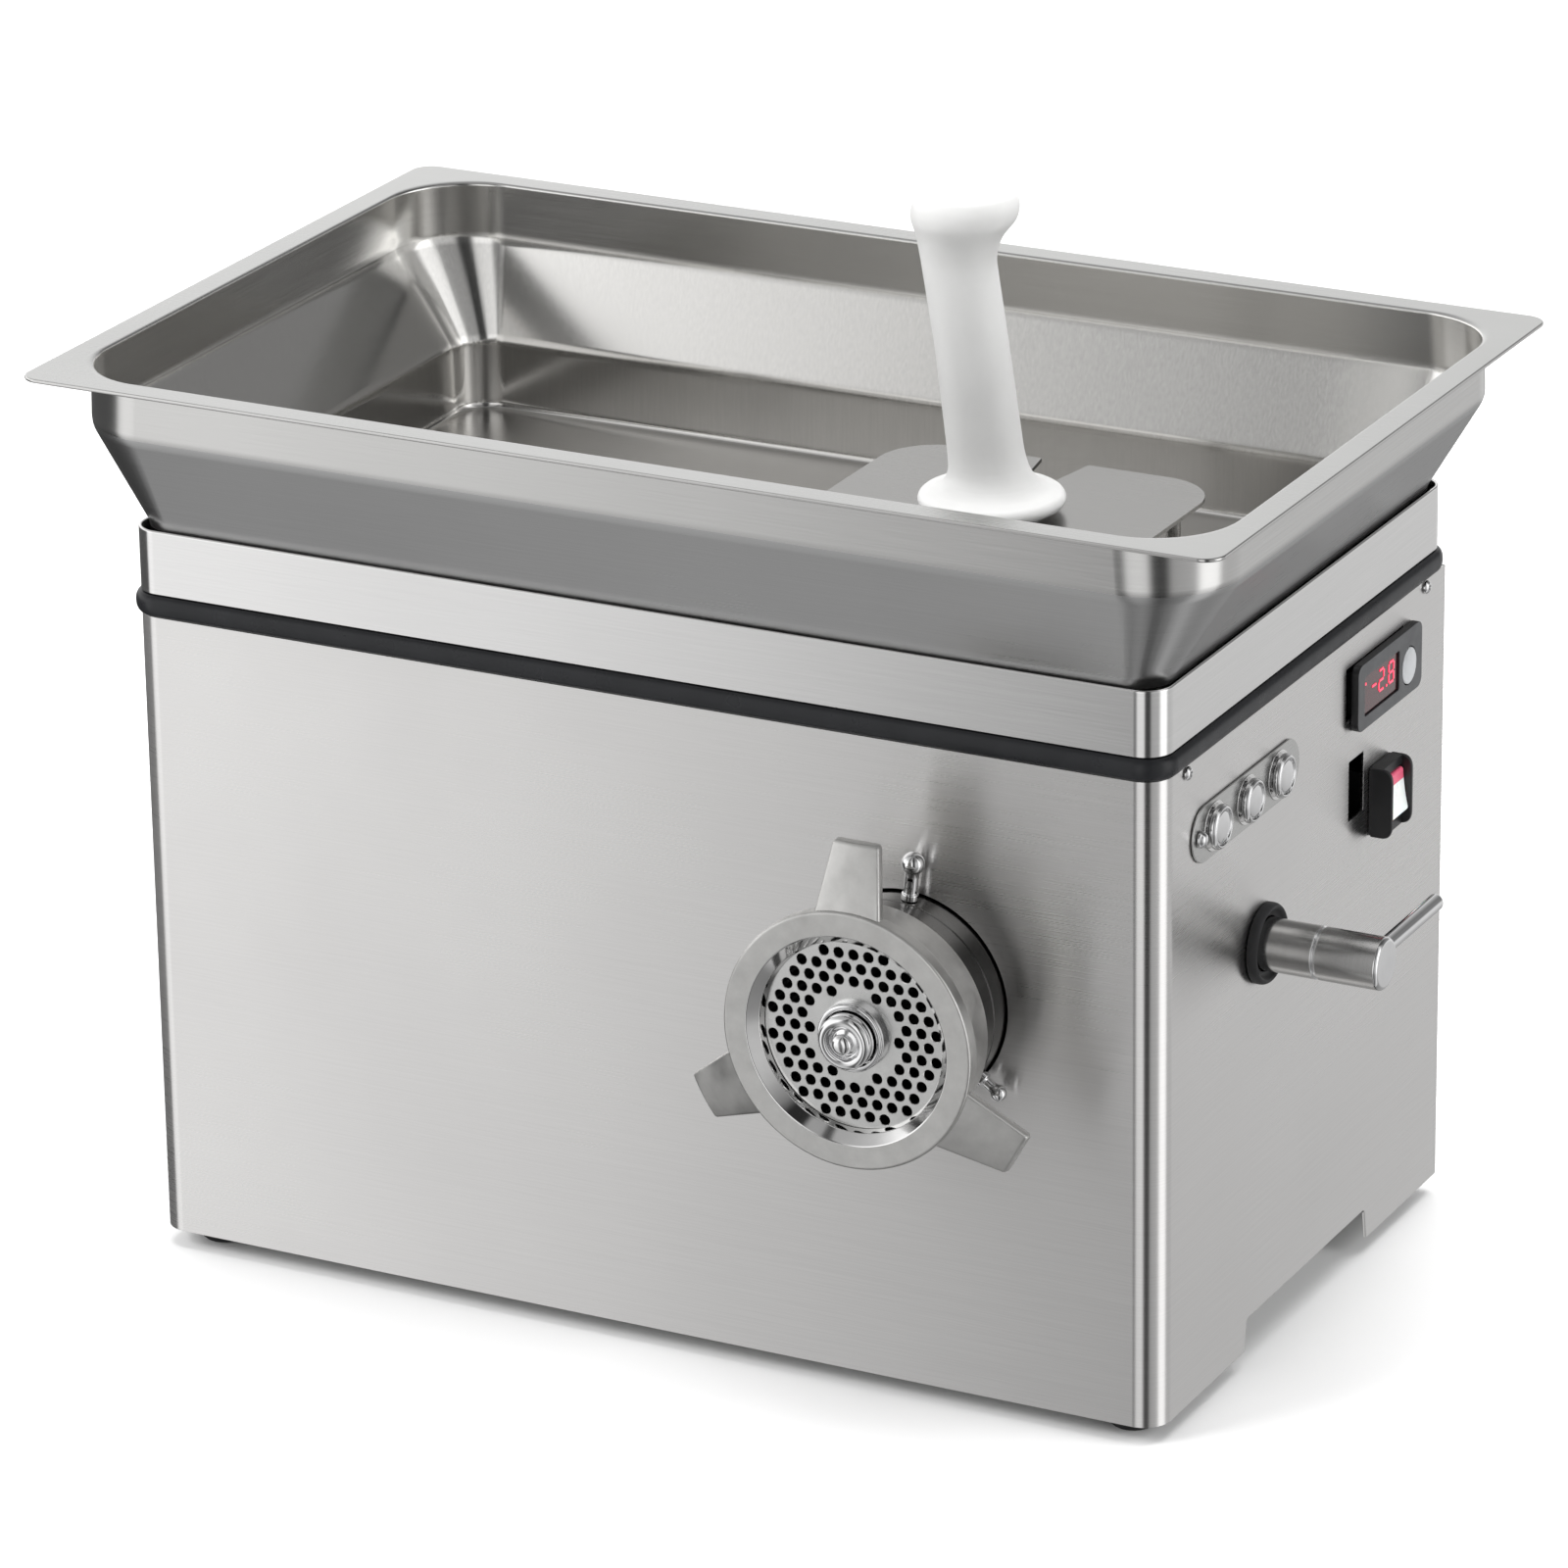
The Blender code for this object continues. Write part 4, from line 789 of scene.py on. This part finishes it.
def worm():
    """A single-start worm with a rounded flight and a square tang."""
    start, end, pitch = -32.0, 137.0, 44.0
    slices = 130
    loops = []
    for index in range(slices + 1):
        y = start + (end - start) * index / slices
        turn = 360 * (y - start) / pitch
        loop = []
        for step in range(48):
            angle = 360 * step / 48
            flight = max(0.0, 1 - (abs((angle - 27 + 180) % 360 - 180) / 45) ** 4)
            radius = 19 + 24.2 * min(1, flight * 1.15)
            bearing = radians(angle + turn)
            loop.append(at(HEAD_X + radius * cos(bearing), y, HEAD_Z + radius * sin(bearing)))
        loops.append(loop)
    screw = skin("worm_screw", loops)
    profile = [(0, 132, 0), (15.4, 132, 0), (15.4, 154, 0.8), (0, 154, 0)]
    shank = lathe("w0", profile, HEAD, "Y", 64)
    tang = prism("w1", round_rect(-9, 9, -9, 9, 1, 3), 150, 169.9, HEAD, "Y")
    join(screw, shank, tang)
    finish_piece(screw, CAST_STEEL, "worm", "cast_steel", "worm", sharp=40)


def worm_stud():
    """The polished stud at the worm's nose, hollow in front."""
    profile = [
        (0, -69.95, 0), (3.2, -69.7, 1.4), (5.1, -67.9, 1.6), (5.1, -66, 1), (3.9, -64, 0.6), (6.4, -63, 0.6),
        (7.8, -65.2, 0.8), (9.0, -66.6, 0.5), (11.6, -66.8, 1.2), (13.2, -65.4, 1.2),
        (13.4, -64.6, 0.6), (12.2, -63.8, 0.4), (12.2, -61.6, 0.4), (13.4, -60.8, 0.6), (13.4, -33.1, 0.4),
        (0, -33.1, 0),
    ]
    made = lathe("nose_stud", profile, HEAD, "Y", 72)
    finish_piece(made, CHROME, "worm", "chrome", "worm_stud", sharp=40)


def knife():
    edge = (
        (-14, 44), (-8, 44.7), (-2, 44.9), (4, 44.9), (10, 38), (16, 31.5), (22, 25), (30, 20.6), (44, 20),
        (58, 20),
    )
    outline = []
    for blade in range(4):
        for angle, radius in edge:
            bearing = radians(90 * blade + angle)
            outline.append((radius * cos(bearing), radius * sin(bearing)))
    blades = prism("four_blade_knife", outline, -45.6, -36.1, HEAD, "Y")
    cut(blades, rod("k", 14.05, -60, -20, HEAD, "Y", 64))
    soft_edges(blades, 0.7, 2, 45)
    # Painted shade: the knife is near-black so the plate's holes read as shade.
    finish_piece(blades, SHADE_BLACK_STEEL, "worm", "tool_steel", "knife")


def plate_holes():
    centres = []
    row_step = HOLE_PITCH * sqrt(3) / 2
    for row in range(-7, 8):
        shift = HOLE_PITCH / 2 if row % 2 else 0
        for column in range(-7, 8):
            x = column * HOLE_PITCH + shift
            z = row * row_step
            if 20.5 < hypot(x, z) < 43.6:
                centres.append((x, z))
    return centres


def grinding_plate():
    """The perforated disc: round holes with a small countersink, and a turned hub ring."""
    front, back = -53.95, -46.05
    centres = plate_holes()
    shape = bmesh.new()

    def circle(cx, cz, radius, y, sides):
        return [
            shape.verts.new(at(HEAD_X + a, y, HEAD_Z + b))
            for a, b in arc(cx, cz, radius, 0, 360 - 360 / sides, sides - 1)
        ]

    def close(ring):
        return [shape.edges.new((ring[i], ring[(i + 1) % len(ring)])) for i in range(len(ring))]

    def bridge(first, second):
        for i in range(len(first)):
            j = (i + 1) % len(first)
            shape.faces.new((first[i], first[j], second[j], second[i]))

    faces = {}
    for name, y, hole in (("front", front, 2.9), ("back", back, 2.7)):
        rim = circle(0, 0, 48.5, y, 120)
        bore = circle(0, 0, 14.1, y, 48)
        holes = [circle(x, z, hole, y, 16) for x, z in centres]
        edges = close(rim) + close(bore)
        for ring in holes:
            edges += close(ring)
        bmesh.ops.triangle_fill(shape, use_beauty=True, edges=edges, normal=(0, -1, 0))
        faces[name] = (rim, bore, holes)
    low = circle(0, 0, 49, front + 0.5, 120)
    high = circle(0, 0, 49, back - 0.5, 120)
    bridge(faces["front"][0], low)
    bridge(low, high)
    bridge(high, faces["back"][0])
    bridge(faces["front"][1], faces["back"][1])
    for (x, z), first, last in zip(centres, faces["front"][2], faces["back"][2]):
        throat = circle(x, z, 2.65, front + 0.3, 16)
        bridge(first, throat)
        bridge(throat, last)
    disc = new_object("perforated_disc", shape)
    profile = [
        (14.2, -59.4, 0.5), (16.4, -59.4, 0.8), (16.9, -58.2, 0.4), (16.2, -57.6, 0.2), (16.9, -57, 0.4),
        (16.9, -53.2, 0), (14.2, -53.2, 0),
    ]
    hub = lathe("hub", profile, HEAD, "Y", 72, ring=True)

    def hole_wall_shade(x, y, z, normal):
        inside_rim = hypot(x - HEAD_X, z - HEAD_Z) < 47
        return y > front + 0.3 and abs(normal.y) < 0.5 and inside_rim

    # Painted shade: the hole walls inside the rim get near-black steel.
    paint(disc, 1, hole_wall_shade)
    finish_piece(disc, [DISC_STEEL, SHADE_BLACK_STEEL], "plate", "tool_steel", "grinding_plate")
    finish_piece(hub, CHROME, "plate", "tool_steel")
    hub.name = "disc_hub_ring"


def ring_nut():
    """Cast nut: flat face, polished mouth, plain skirt and three lugs that sweep back."""
    profile = [
        (46.3, -54.4, 0.3), (47.4, -58, 0.4), (52, -62.95, 0.5), (63.1, -62.95, 0.7), (63.9, -62.1, 0.7),
        (63.9, -55, 0.8), (58.6, -53, 1.2), (58, -51, 0.6), (58, -31.1, 0.8), (54.5, -31.1, 0.4),
        (54.5, -54.4, 0.3),
    ]
    nut = lathe("lugged_nut", profile, HEAD, "Y", 120, ring=True)
    stations = ((57, 0), (62, 0), (66, 0), (70, 0), (78, 0), (86, 0), (92.6, 0), (93.8, 0.35), (94.4, 1.1))
    lugs = []
    for index in range(3):
        angle = radians(90 + 120 * index)
        along = Vector((cos(angle), 0, sin(angle)))
        across = Vector((-sin(angle), 0, cos(angle)))
        loops = []
        for radius, trim in stations:
            half = 17 - 5.4 * (radius - 60) / 34.5 - trim
            sweep = 10.2 * max(0, radius - 62) / 32.5
            front = -61.7 + trim + sweep
            back = -55.5 - trim + sweep
            corners = [(-half, front + 1.2, 1.4)]
            for step in range(-6, 7):
                s = step / 7
                corners.append((half * s, front + 1.2 * s * s, 0))
            corners += [(half, front + 1.2, 1.4), (half, back, 1.2), (-half, back, 1.2)]
            loop = []
            for s, y in soften(corners, closed=True, steps=3):
                loop.append(at(HEAD_X, y, HEAD_Z) + (along * radius + across * s) * MM)
            loops.append(loop)
        lugs.append(skin(f"lug{index}", loops))
    join(nut, *lugs)

    def mouth(x, y, z, normal):
        radius = hypot(x - HEAD_X, z - HEAD_Z)
        return radius < 52.3 and y < -54.2

    paint(nut, 1, mouth)
    finish_piece(nut, [CAST_STEEL, POLISHED], "ring", "cast_steel", "ring_nut", sharp=38)


def head_parts():
    profile = [(16.5, 137.5, 0.4), (24, 137.5, 0.4), (24, 140.5, 0.4), (16.5, 140.5, 0.4)]
    washer = lathe("bronze_washer", profile, HEAD, "Y", 64, ring=True)
    finish_piece(washer, COPPER, "worm", "copper", "thrust_washer")
    profile = [
        (52.85, 5.9, 0.5), (64.7, 5.9, 0.4), (64.7, 8.7, 0.4), (55.8, 8.7, 1.2), (55.8, 152.4, 0.5),
        (52.85, 152.4, 0.5),
    ]
    sleeve = lathe("chilled_sleeve", profile, HEAD, "Y", 96, ring=True)
    cut(
        sleeve,
        rod("s0", 29, 20, 90, (HEAD_X, FEED_Y, HEAD_Z), "Z", 64),
        rod("s1", 9, 30, 90, (HEAD_X, *LEVER), "X", 48),
    )
    soft_edges(sleeve, 0.3, 2, 50)
    finish_piece(sleeve, ALUMINIUM, "root", "aluminium", "head_socket")
    profile = [
        (52.9, 1.9, 0.6), (62.7, 1.9, 0.6), (62.7, 5.4, 0.6), (57, 5.4, 0.4), (56.4, 4.8, 0.3),
        (55.8, 5.4, 0.3), (52.9, 5.4, 0.6),
    ]
    seal = lathe("sleeve_seal", profile, HEAD, "Y", 96, ring=True)
    finish_piece(seal, RUBBER, "root", "black_rubber", "head_seal")


# ---- controls


def buttons():
    half, middle, reach = 14, 94, 47
    front_end = arc(middle - reach, BUTTON_Z, half, 90, 270, 24)
    ends = arc(middle + reach, BUTTON_Z, half, -90, 90, 24) + front_end
    plate = side_prism("button_strip", ends, 550.3, 551.25)
    for y in BUTTONS.values():
        cut(plate, rod("p", 8.5, -5, 9, (BODY_WIDTH, y, BUTTON_Z), "X", 40))
    soft_edges(plate, 0.35, 3)
    finish_piece(plate, PLATE_STEEL, "root", "stainless", "button_plate")
    profile = [
        (0, -14, 0), (7.6, -14, 0.6), (8, -13, 0.4), (8, 3, 0.3), (10.9, 3, 0.4), (10.9, 4.9, 0.8),
        (9.7, 6.15, 0.6), (8.9, 6.1, 0.3), (8.5, 4.7, 0.3), (7.9, 4.7, 0.3), (7.6, 5.5, 0.6), (4.6, 5.9, 2.2),
        (0, 6.0, 0),
    ]
    ring = [(8.6, 1.3, 0.1), (12.2, 1.3, 0.1), (12.2, 1.45, 0.1), (11.9, 1.57, 0.1), (8.6, 1.57, 0.1)]
    for name, y in BUTTONS.items():
        centre = (BODY_WIDTH, y, BUTTON_Z)
        cap = lathe(name + "_cap", profile, centre, "X", 64)
        finish_piece(cap, CHROME, name, "chrome", name, sharp=40)
        collar = lathe(name + "_collar", ring, centre, "X", 64, ring=True)
        finish_piece(collar, POLISHED, "root", "chrome")
    lamp = [
        (0, 0, 0), (4.1, 0, 0.3), (4.1, 1.2, 0.5), (3.5, 1.7, 0.3), (3.2, 2.3, 0.6), (2.3, 3.3, 1),
        (0, 3.65, 0),
    ]
    bead = lathe("lamp_bead", lamp, (551.6, 40.5, 295.5), "X", 48)
    finish_piece(bead, CHROME, "root", "chrome", "indicator_lamp", sharp=50)


SEGMENTS = {"2": "abged", "8": "abcdefg", "-": "g"}


def digit_bars(text, y):
    """Seven-bar digits on the side panel, reading towards the back."""
    z, width, height, stroke = 300, 6, 10.4, 1.1
    bars = {
        "a": (0, height, 1), "g": (0, height / 2, 1), "d": (0, 0, 1),
        "f": (0, height / 2, 0), "e": (0, 0, 0), "b": (width, height / 2, 0), "c": (width, 0, 0),
    }
    gap = stroke * 0.6
    shapes = []
    for place, letter in enumerate(text):
        start = y + place * (width + stroke * 2.6)
        for bar in SEGMENTS[letter]:
            dy, dz, level = bars[bar]
            if level:
                low = (start + gap, z + dz - stroke / 2)
                high = (start + width - gap, z + dz + stroke / 2)
            else:
                low = (start + dy - stroke / 2, z + dz + gap)
                high = (start + dy + stroke / 2, z + dz + height / 2 - gap)
            shapes.append((low, high))
    return shapes


def thermostat():
    outline = round_rect(218, 296, 286.8, 320.8, 5, 8)
    bezel = side_prism("controller_bezel", outline, 550.35, 554.4)
    window = round_rect(226, 268, 293.3, 313.5, 1.2, 4)
    key_hole = side_prism("e1", oval(KEY_MIDDLE, 9, 9.8, 48), 551.5, 565)
    cut(bezel, side_prism("e0", window, 552.5, 565), key_hole)
    soft_edges(bezel, 0.7, 3)
    body = block("controller_body", (498.2, 223.1, 291.4), (550.3, 290.9, 316.2))
    soft_edges(body, 0.8, 2)
    join(bezel, body)
    paint(bezel, 1, lambda x, y, z, normal: x > 553.7 and normal.x > 0.5)
    finish_piece(bezel, [BLACK_PLASTIC, BEZEL_FACE], "root", "black_plastic", "thermostat_bezel")
    pane = side_prism("display_pane", round_rect(226.4, 267.6, 293.7, 313.1, 1, 4), 552.8, 553.3)
    soft_edges(pane, 0.15, 2)
    finish_piece(pane, GLASS, "root", "display_glass", "thermostat_window")
    shape = bmesh.new()
    marks = digit_bars("-2", 236) + digit_bars("8", 257)
    marks += [((253.6, 299.5), (254.8, 300.6)), ((228, 308.6), (229.2, 309.8))]
    for (y0, z0), (y1, z1) in marks:
        around = ((y0, z0), (y1, z0), (y1, z1), (y0, z1))
        corners = []
        for x in (553.35, 553.6):
            corners.append([shape.verts.new(at(x, y, z)) for y, z in around])
        shape.faces.new(corners[0])
        shape.faces.new(corners[1])
        for i in range(4):
            j = (i + 1) % 4
            shape.faces.new((corners[0][i], corners[0][j], corners[1][j], corners[1][i]))
    digits = new_object("display_digits", shape)
    finish_piece(digits, LED_RED, "root", "display_glass")
    dish = ((552.5, 1), (554.5, 1), (554.8, 0.95), (555.05, 0.84), (554.95, 0.6), (554.8, 0.45), (554.8, 0.2))
    pad_loops = []
    for x, share in dish:
        outline = oval(KEY_MIDDLE, 8.4 * share, 9.2 * share, 64)
        pad_loops.append([at(x, y, z) for y, z in outline])
    keys = skin("key_pad", pad_loops)
    finish_piece(keys, KEY_GREY, "keys", "grey_plastic", "thermostat_keys", sharp=50)


def main_switch():
    y_mid, z_mid = SWITCH
    frame_outline = round_rect(y_mid - 13.1, y_mid + 13.1, z_mid - 17.9, z_mid + 17.9, 2.5, 6)
    housing = side_prism("switch_guard", frame_outline, 550.35, 557.5)
    cheek = soften([(0, -17.9, 0), (11.4, -17.9, 7), (11.4, 17.9, 7), (0, 17.9, 0)], steps=8)
    cheeks = []
    for index, y in enumerate((y_mid - 13.15, y_mid + 10.95)):
        outline = [(551.1 + x, -(z_mid + z)) for x, z in cheek]
        made = prism(f"cheek{index}", outline, y, y + 2.2, (0, 0, 0), "Y")
        cheeks.append(soft_edges(made, 0.6, 3))
    well = block("well", (526.2, y_mid - 11.8, z_mid - 14.5), (551.2, y_mid + 11.8, z_mid + 14.5))
    join(housing, *cheeks, well)
    cut(housing, block("hole", (542, y_mid - 10.8, z_mid - 13.4), (590, y_mid + 10.8, z_mid + 13.4)))
    finish_piece(housing, BLACK_PLASTIC, "root", "black_plastic", "switch_frame")
    lean = radians(SWITCH_LEAN)
    outline = []
    shape = [
        (-4, -9, 0.5), (2.5, -11.6, 1), (9.6, -11.2, 1.6), (9, 0, 7), (9.6, 11.2, 1.6), (2.5, 11.6, 1),
        (-4, 9, 0.5),
    ]
    for x, z in soften(shape, closed=True, steps=6):
        x, z = x * 0.99, z * 0.99
        outline.append((x * cos(lean) - z * sin(lean), -(x * sin(lean) + z * cos(lean))))
    rocker = prism("rocker_cap", outline, -10.3, 10.3, (550.5, y_mid, z_mid), "Y")
    soft_edges(rocker, 0.6, 3)
    paint(rocker, 1, lambda x, y, z, normal: z > z_mid + 8.4 and x > 551)
    finish_piece(rocker, [ROCKER_WHITE, ROCKER_RED], "rocker", "white_plastic", "rocker_switch")


def lever():
    collar = [
        (13.5, 550.4, 0.4), (19.9, 550.4, 0.4), (19.9, 553.6, 1.4), (18.6, 555.6, 1), (17.2, 555.2, 0.8),
        (15.6, 553.4, 1.5), (13.5, 552.8, 0.4),
    ]
    made = lathe("lever_grommet", collar, (0, *LEVER), "X", 72, ring=True)
    finish_piece(made, RUBBER, "root", "black_rubber", "lever_collar", sharp=45)
    shaft = [
        (0, 498, 0), (9.4, 498, 0.5), (10, 499, 0.4), (10, 545, 0.3), (12.95, 545, 0.4), (12.95, 580, 0.3),
        (12.1, 580.5, 0.2), (12.1, 581.4, 0.2), (12.95, 582, 0.3), (12.95, 612.6, 0.8), (11.6, 613.95, 0.8),
        (0, 613.95, 0),
    ]
    made = lathe("lever_drum", shaft, (0, *LEVER), "X", 96)
    cut(made, rod("l", 4.5, -11.7, 30, (LEVER_BAR_X, *LEVER), "Y", 40))
    paint(made, 1, lambda x, y, z, normal: x > 612 or 579.5 < x < 582.5)
    finish_piece(made, [SATIN_CHROME, CHROME], "lever", "chrome", "lever_shaft", sharp=35)
    bar = [
        (0, -11.6, 0), (3.2, -11.6, 0.6), (4.25, -10.6, 0.6), (4.25, 82.4, 1), (3.2, 83.95, 0.8), (0, 83.95, 0),
    ]
    made = lathe("lever_handle_bar", bar, (LEVER_BAR_X, *LEVER), "Y", 48)
    finish_piece(made, CHROME, "lever", "chrome", "lever_bar", sharp=50)
    pad = [(0, 471.6, 0), (6.6, 471.6, 0.3), (7.5, 472.6, 0.4), (7.5, 486.3, 0.5), (6.8, 487, 0.4), (0, 487, 0)]
    made = lathe("clamp_plunger", pad, (0, *LEVER), "X", 48)
    finish_piece(made, TOOL_STEEL, "pad", "tool_steel", "clamp_pad")


def gland():
    body = [
        (4, -8, 0.3), (7.9, -8, 0.4), (7.9, 0.4, 0), (12.6, 0.4, 0.3), (12.6, 1.2, 0.3), (9.4, 1.6, 0),
        (9.4, 7, 0.5), (8.6, 9, 1), (8.2, 14, 2), (6.6, 16.9, 1), (4, 16.9, 0.6),
    ]
    made = lathe("gland_dome", body, CABLE_EXIT, "Y", 64, ring=True)
    nut = prism("nut", arc(0, 0, 12.4, 0, 300, 5), 1.4, 6.4, CABLE_EXIT, "Y")
    cut(nut, rod("bore", 8.6, -5, 20, CABLE_EXIT, "Y", 48))
    soft_edges(nut, 0.6, 2, 30)
    join(made, nut)
    slots = []
    for index in range(8):
        angle = radians(45 * index + 10)
        c, s = cos(angle), sin(angle)
        corners = ((3, -0.35), (12, -0.35), (12, 0.35), (3, 0.35))
        outline = [(a * c - b * s, a * s + b * c) for a, b in corners]
        slots.append(prism(f"g{index}", outline, 14.2, 20, CABLE_EXIT, "Y"))
    cut(made, *slots)
    finish_piece(made, BLACK_PLASTIC, "root", "black_plastic", "cable_gland")


# ---- inside


def refined(node, material, width, sharp, test=None):
    """A bevelled copy of a CAD solid that stands for it."""
    source = frame["nodes"][node]
    shape = bmesh.new()
    shape.from_mesh(source.data)
    bmesh.ops.remove_doubles(shape, verts=shape.verts, dist=1e-6)
    bmesh.ops.dissolve_limit(shape, angle_limit=radians(0.5), verts=shape.verts, edges=shape.edges)
    made = new_object(node + "_refined", shape)
    if width:
        soft_edges(made, width, 2, 40)
    if test:
        paint(made, 1, test)
    body = source["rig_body"]
    slot = next(part["material_slot"] for part in frame["record"]["subparts"] if part["node"] == node)
    finish_piece(made, material, body, slot, node, sharp=sharp)


def inside():
    for node, material, width in (
        ("front_bearing", POLISHED, 0.5), ("rear_bearing", POLISHED, 0.5), ("shaft_seal", RUBBER, 0.4),
        ("gearbox_housing", GREY_PAINT, 1.2), ("gearbox_cover", GREY_PAINT, 1.2),
        ("motor_housing", GREY_PAINT, 1.0), ("motor_cradle", ZINC_STEEL, 0.8), ("compressor", BLACK_PAINT, 0),
        ("condenser", ALUMINIUM, 0.25), ("fan_shroud", BLACK_PLASTIC, 1.0), ("cooling_coil", COPPER, 0),
        ("condenser_fan", BLACK_PLASTIC, 0.35), ("output_shaft", TOOL_STEEL, 0.6),
        ("drive_gear", TOOL_STEEL, 0.35), ("motor_shaft", TOOL_STEEL, 0.6), ("motor_pinion", TOOL_STEEL, 0.35),
    ):
        refined(node, material, width, 40 if width else 60)
    refined("control_board", [BOARD, RELAY], 0.3, 35, lambda x, y, z, normal: x > 502.2)


# ---- stage


def camera():
    data = bpy.data.cameras.new("camera")
    data.lens = 181.8
    data.sensor_width = 36
    data.clip_end = 200
    made = bpy.data.objects.new("camera", data)
    back = Vector((0.4313, -0.8278, 0.3589)).normalized()
    right = Vector((0.8892, 0.4573, -0.0139))
    right = (right - back * right.dot(back)).normalized()
    up = back.cross(right)
    rotation = Matrix((right, up, back)).transposed()
    made.matrix_world = Matrix.Translation((1.66805, -3.21515, 1.63535)) @ rotation.to_4x4()
    bpy.context.scene.collection.objects.link(made)
    bpy.context.scene.camera = made


def softbox(name, place, target, width, height, power):
    data = bpy.data.lights.new(name, "AREA")
    data.shape = "RECTANGLE"
    data.size = width
    data.size_y = height
    data.energy = power
    made = bpy.data.objects.new(name, data)
    direction = Vector(target) - Vector(place)
    made.matrix_world = Matrix.Translation(place) @ direction.to_track_quat("-Z", "Y").to_matrix().to_4x4()
    made.visible_glossy = False
    bpy.context.scene.collection.objects.link(made)


def world_ramp(tree, value, stops):
    """Brightness by a value from 0 to 1."""
    ramp = tree.nodes.new("ShaderNodeValToRGB")
    elements = ramp.color_ramp.elements
    while len(elements) < len(stops):
        elements.new(0.5)
    for element, (position, tone) in zip(elements, stops):
        element.position = position
        element.color = (tone, tone, tone, 1)
    tree.links.new(value, ramp.inputs["Fac"])
    return ramp.outputs["Color"]


def studio():
    """A soft studio: bright to the front left, dark behind the camera and overhead."""
    world = bpy.data.worlds.new("studio")
    bpy.context.scene.world = world
    world.use_nodes = True
    tree = world.node_tree

    def math_node(operation, first, second):
        node = tree.nodes.new("ShaderNodeMath")
        node.operation = operation
        for socket, value in zip(node.inputs, (first, second)):
            if isinstance(value, (int, float)):
                socket.default_value = value
            else:
                tree.links.new(value, socket)
        return node.outputs[0]

    coords = tree.nodes.new("ShaderNodeTexCoord")
    parts = tree.nodes.new("ShaderNodeSeparateXYZ")
    tree.links.new(coords.outputs["Generated"], parts.inputs[0])
    level = math_node("MULTIPLY_ADD", parts.outputs["Z"], 0.5)
    level.node.inputs[2].default_value = 0.5
    front = math_node("MULTIPLY", parts.outputs["Y"], -1.0)
    angle = math_node("ARCTAN2", parts.outputs["X"], front)
    turn = math_node("MULTIPLY_ADD", angle, 0.5 / pi)
    turn.node.inputs[2].default_value = 0.5
    by_height = world_ramp(tree, level, (
        (0.0, 0.4), (0.08, 0.52), (0.22, 0.64), (0.27, 0.76), (0.33, 1.1), (0.42, 1.28), (0.55, 1.36),
        (0.66, 1.3), (0.72, 1.1), (0.82, 0.62), (0.92, 0.46), (1.0, 0.42),
    ))
    by_turn = world_ramp(tree, turn, (
        (0.0, 0.7), (0.083, 0.9), (0.333, 0.98), (0.408, 1.0), (0.418, 0.92), (0.429, 0.34), (0.444, 0.15),
        (0.465, 0.25), (0.48, 0.8), (0.545, 0.8), (0.565, 0.05), (0.61, 0.05), (0.63, 0.4), (0.71, 0.45),
        (0.735, 1.25), (0.8, 1.25), (0.82, 0.5), (0.889, 0.55), (1.0, 0.65),
    ))
    behind = world_ramp(tree, turn, (
        (0.0, 0.5), (0.07, 0.2), (0.15, 0.0), (0.82, 0.0), (0.86, 1.0), (0.95, 1.0), (1.0, 0.5),
    ))
    above = world_ramp(tree, level, ((0.47, 0.0), (0.56, 0.72)))
    left = world_ramp(tree, turn, ((0.0, 0.2), (0.08, 0.9), (0.325, 0.93), (0.345, 0.0), (1.0, 0.0)))
    below = world_ramp(tree, level, ((0.46, 1.0), (0.53, 0.0)))
    product = math_node("MULTIPLY", by_height, by_turn)
    for first, second in ((behind, above), (left, below)):
        shade = math_node("MULTIPLY", first, second)
        product = math_node("MULTIPLY", product, math_node("SUBTRACT", 1.0, shade))
    background = tree.nodes["Background"]
    tree.links.new(product, background.inputs["Color"])
    background.inputs["Strength"].default_value = 1.0

    shape = bmesh.new()
    bmesh.ops.create_circle(shape, cap_ends=True, segments=96, radius=30)
    floor = new_object("floor", shape)
    white = Finish("floor_white", (0.93, 0.93, 0.93), 0.7)
    white.tint(white.noise(0.6, detail=2), 0.995, 1.005)
    floor.data.materials.append(white.material)
    floor.visible_glossy = False
    softbox("key", (-2.6, -2.6, 2.6), (0, 0, 0.2), 2.6, 2.2, 150)
    softbox("top", (0.2, 0.6, 3.4), (0, 0, 0.3), 3.2, 3.2, 150)
    softbox("right", (3.4, 0.2, 1.6), (0, 0, 0.25), 1.8, 2.2, 60)
    bpy.context.scene.view_settings.view_transform = "Standard"


casing_wrap()
rear_panel()
upper_casing()
gasket()
feet()
side_screws()
base_plates()
tray()
feed_guard()
feed_tube()
pestle()
barrel()
studs()
worm()
worm_stud()
knife()
grinding_plate()
ring_nut()
head_parts()
buttons()
thermostat()
main_switch()
lever()
gland()
inside()
camera()
studio()

bpy.context.view_layer.update()
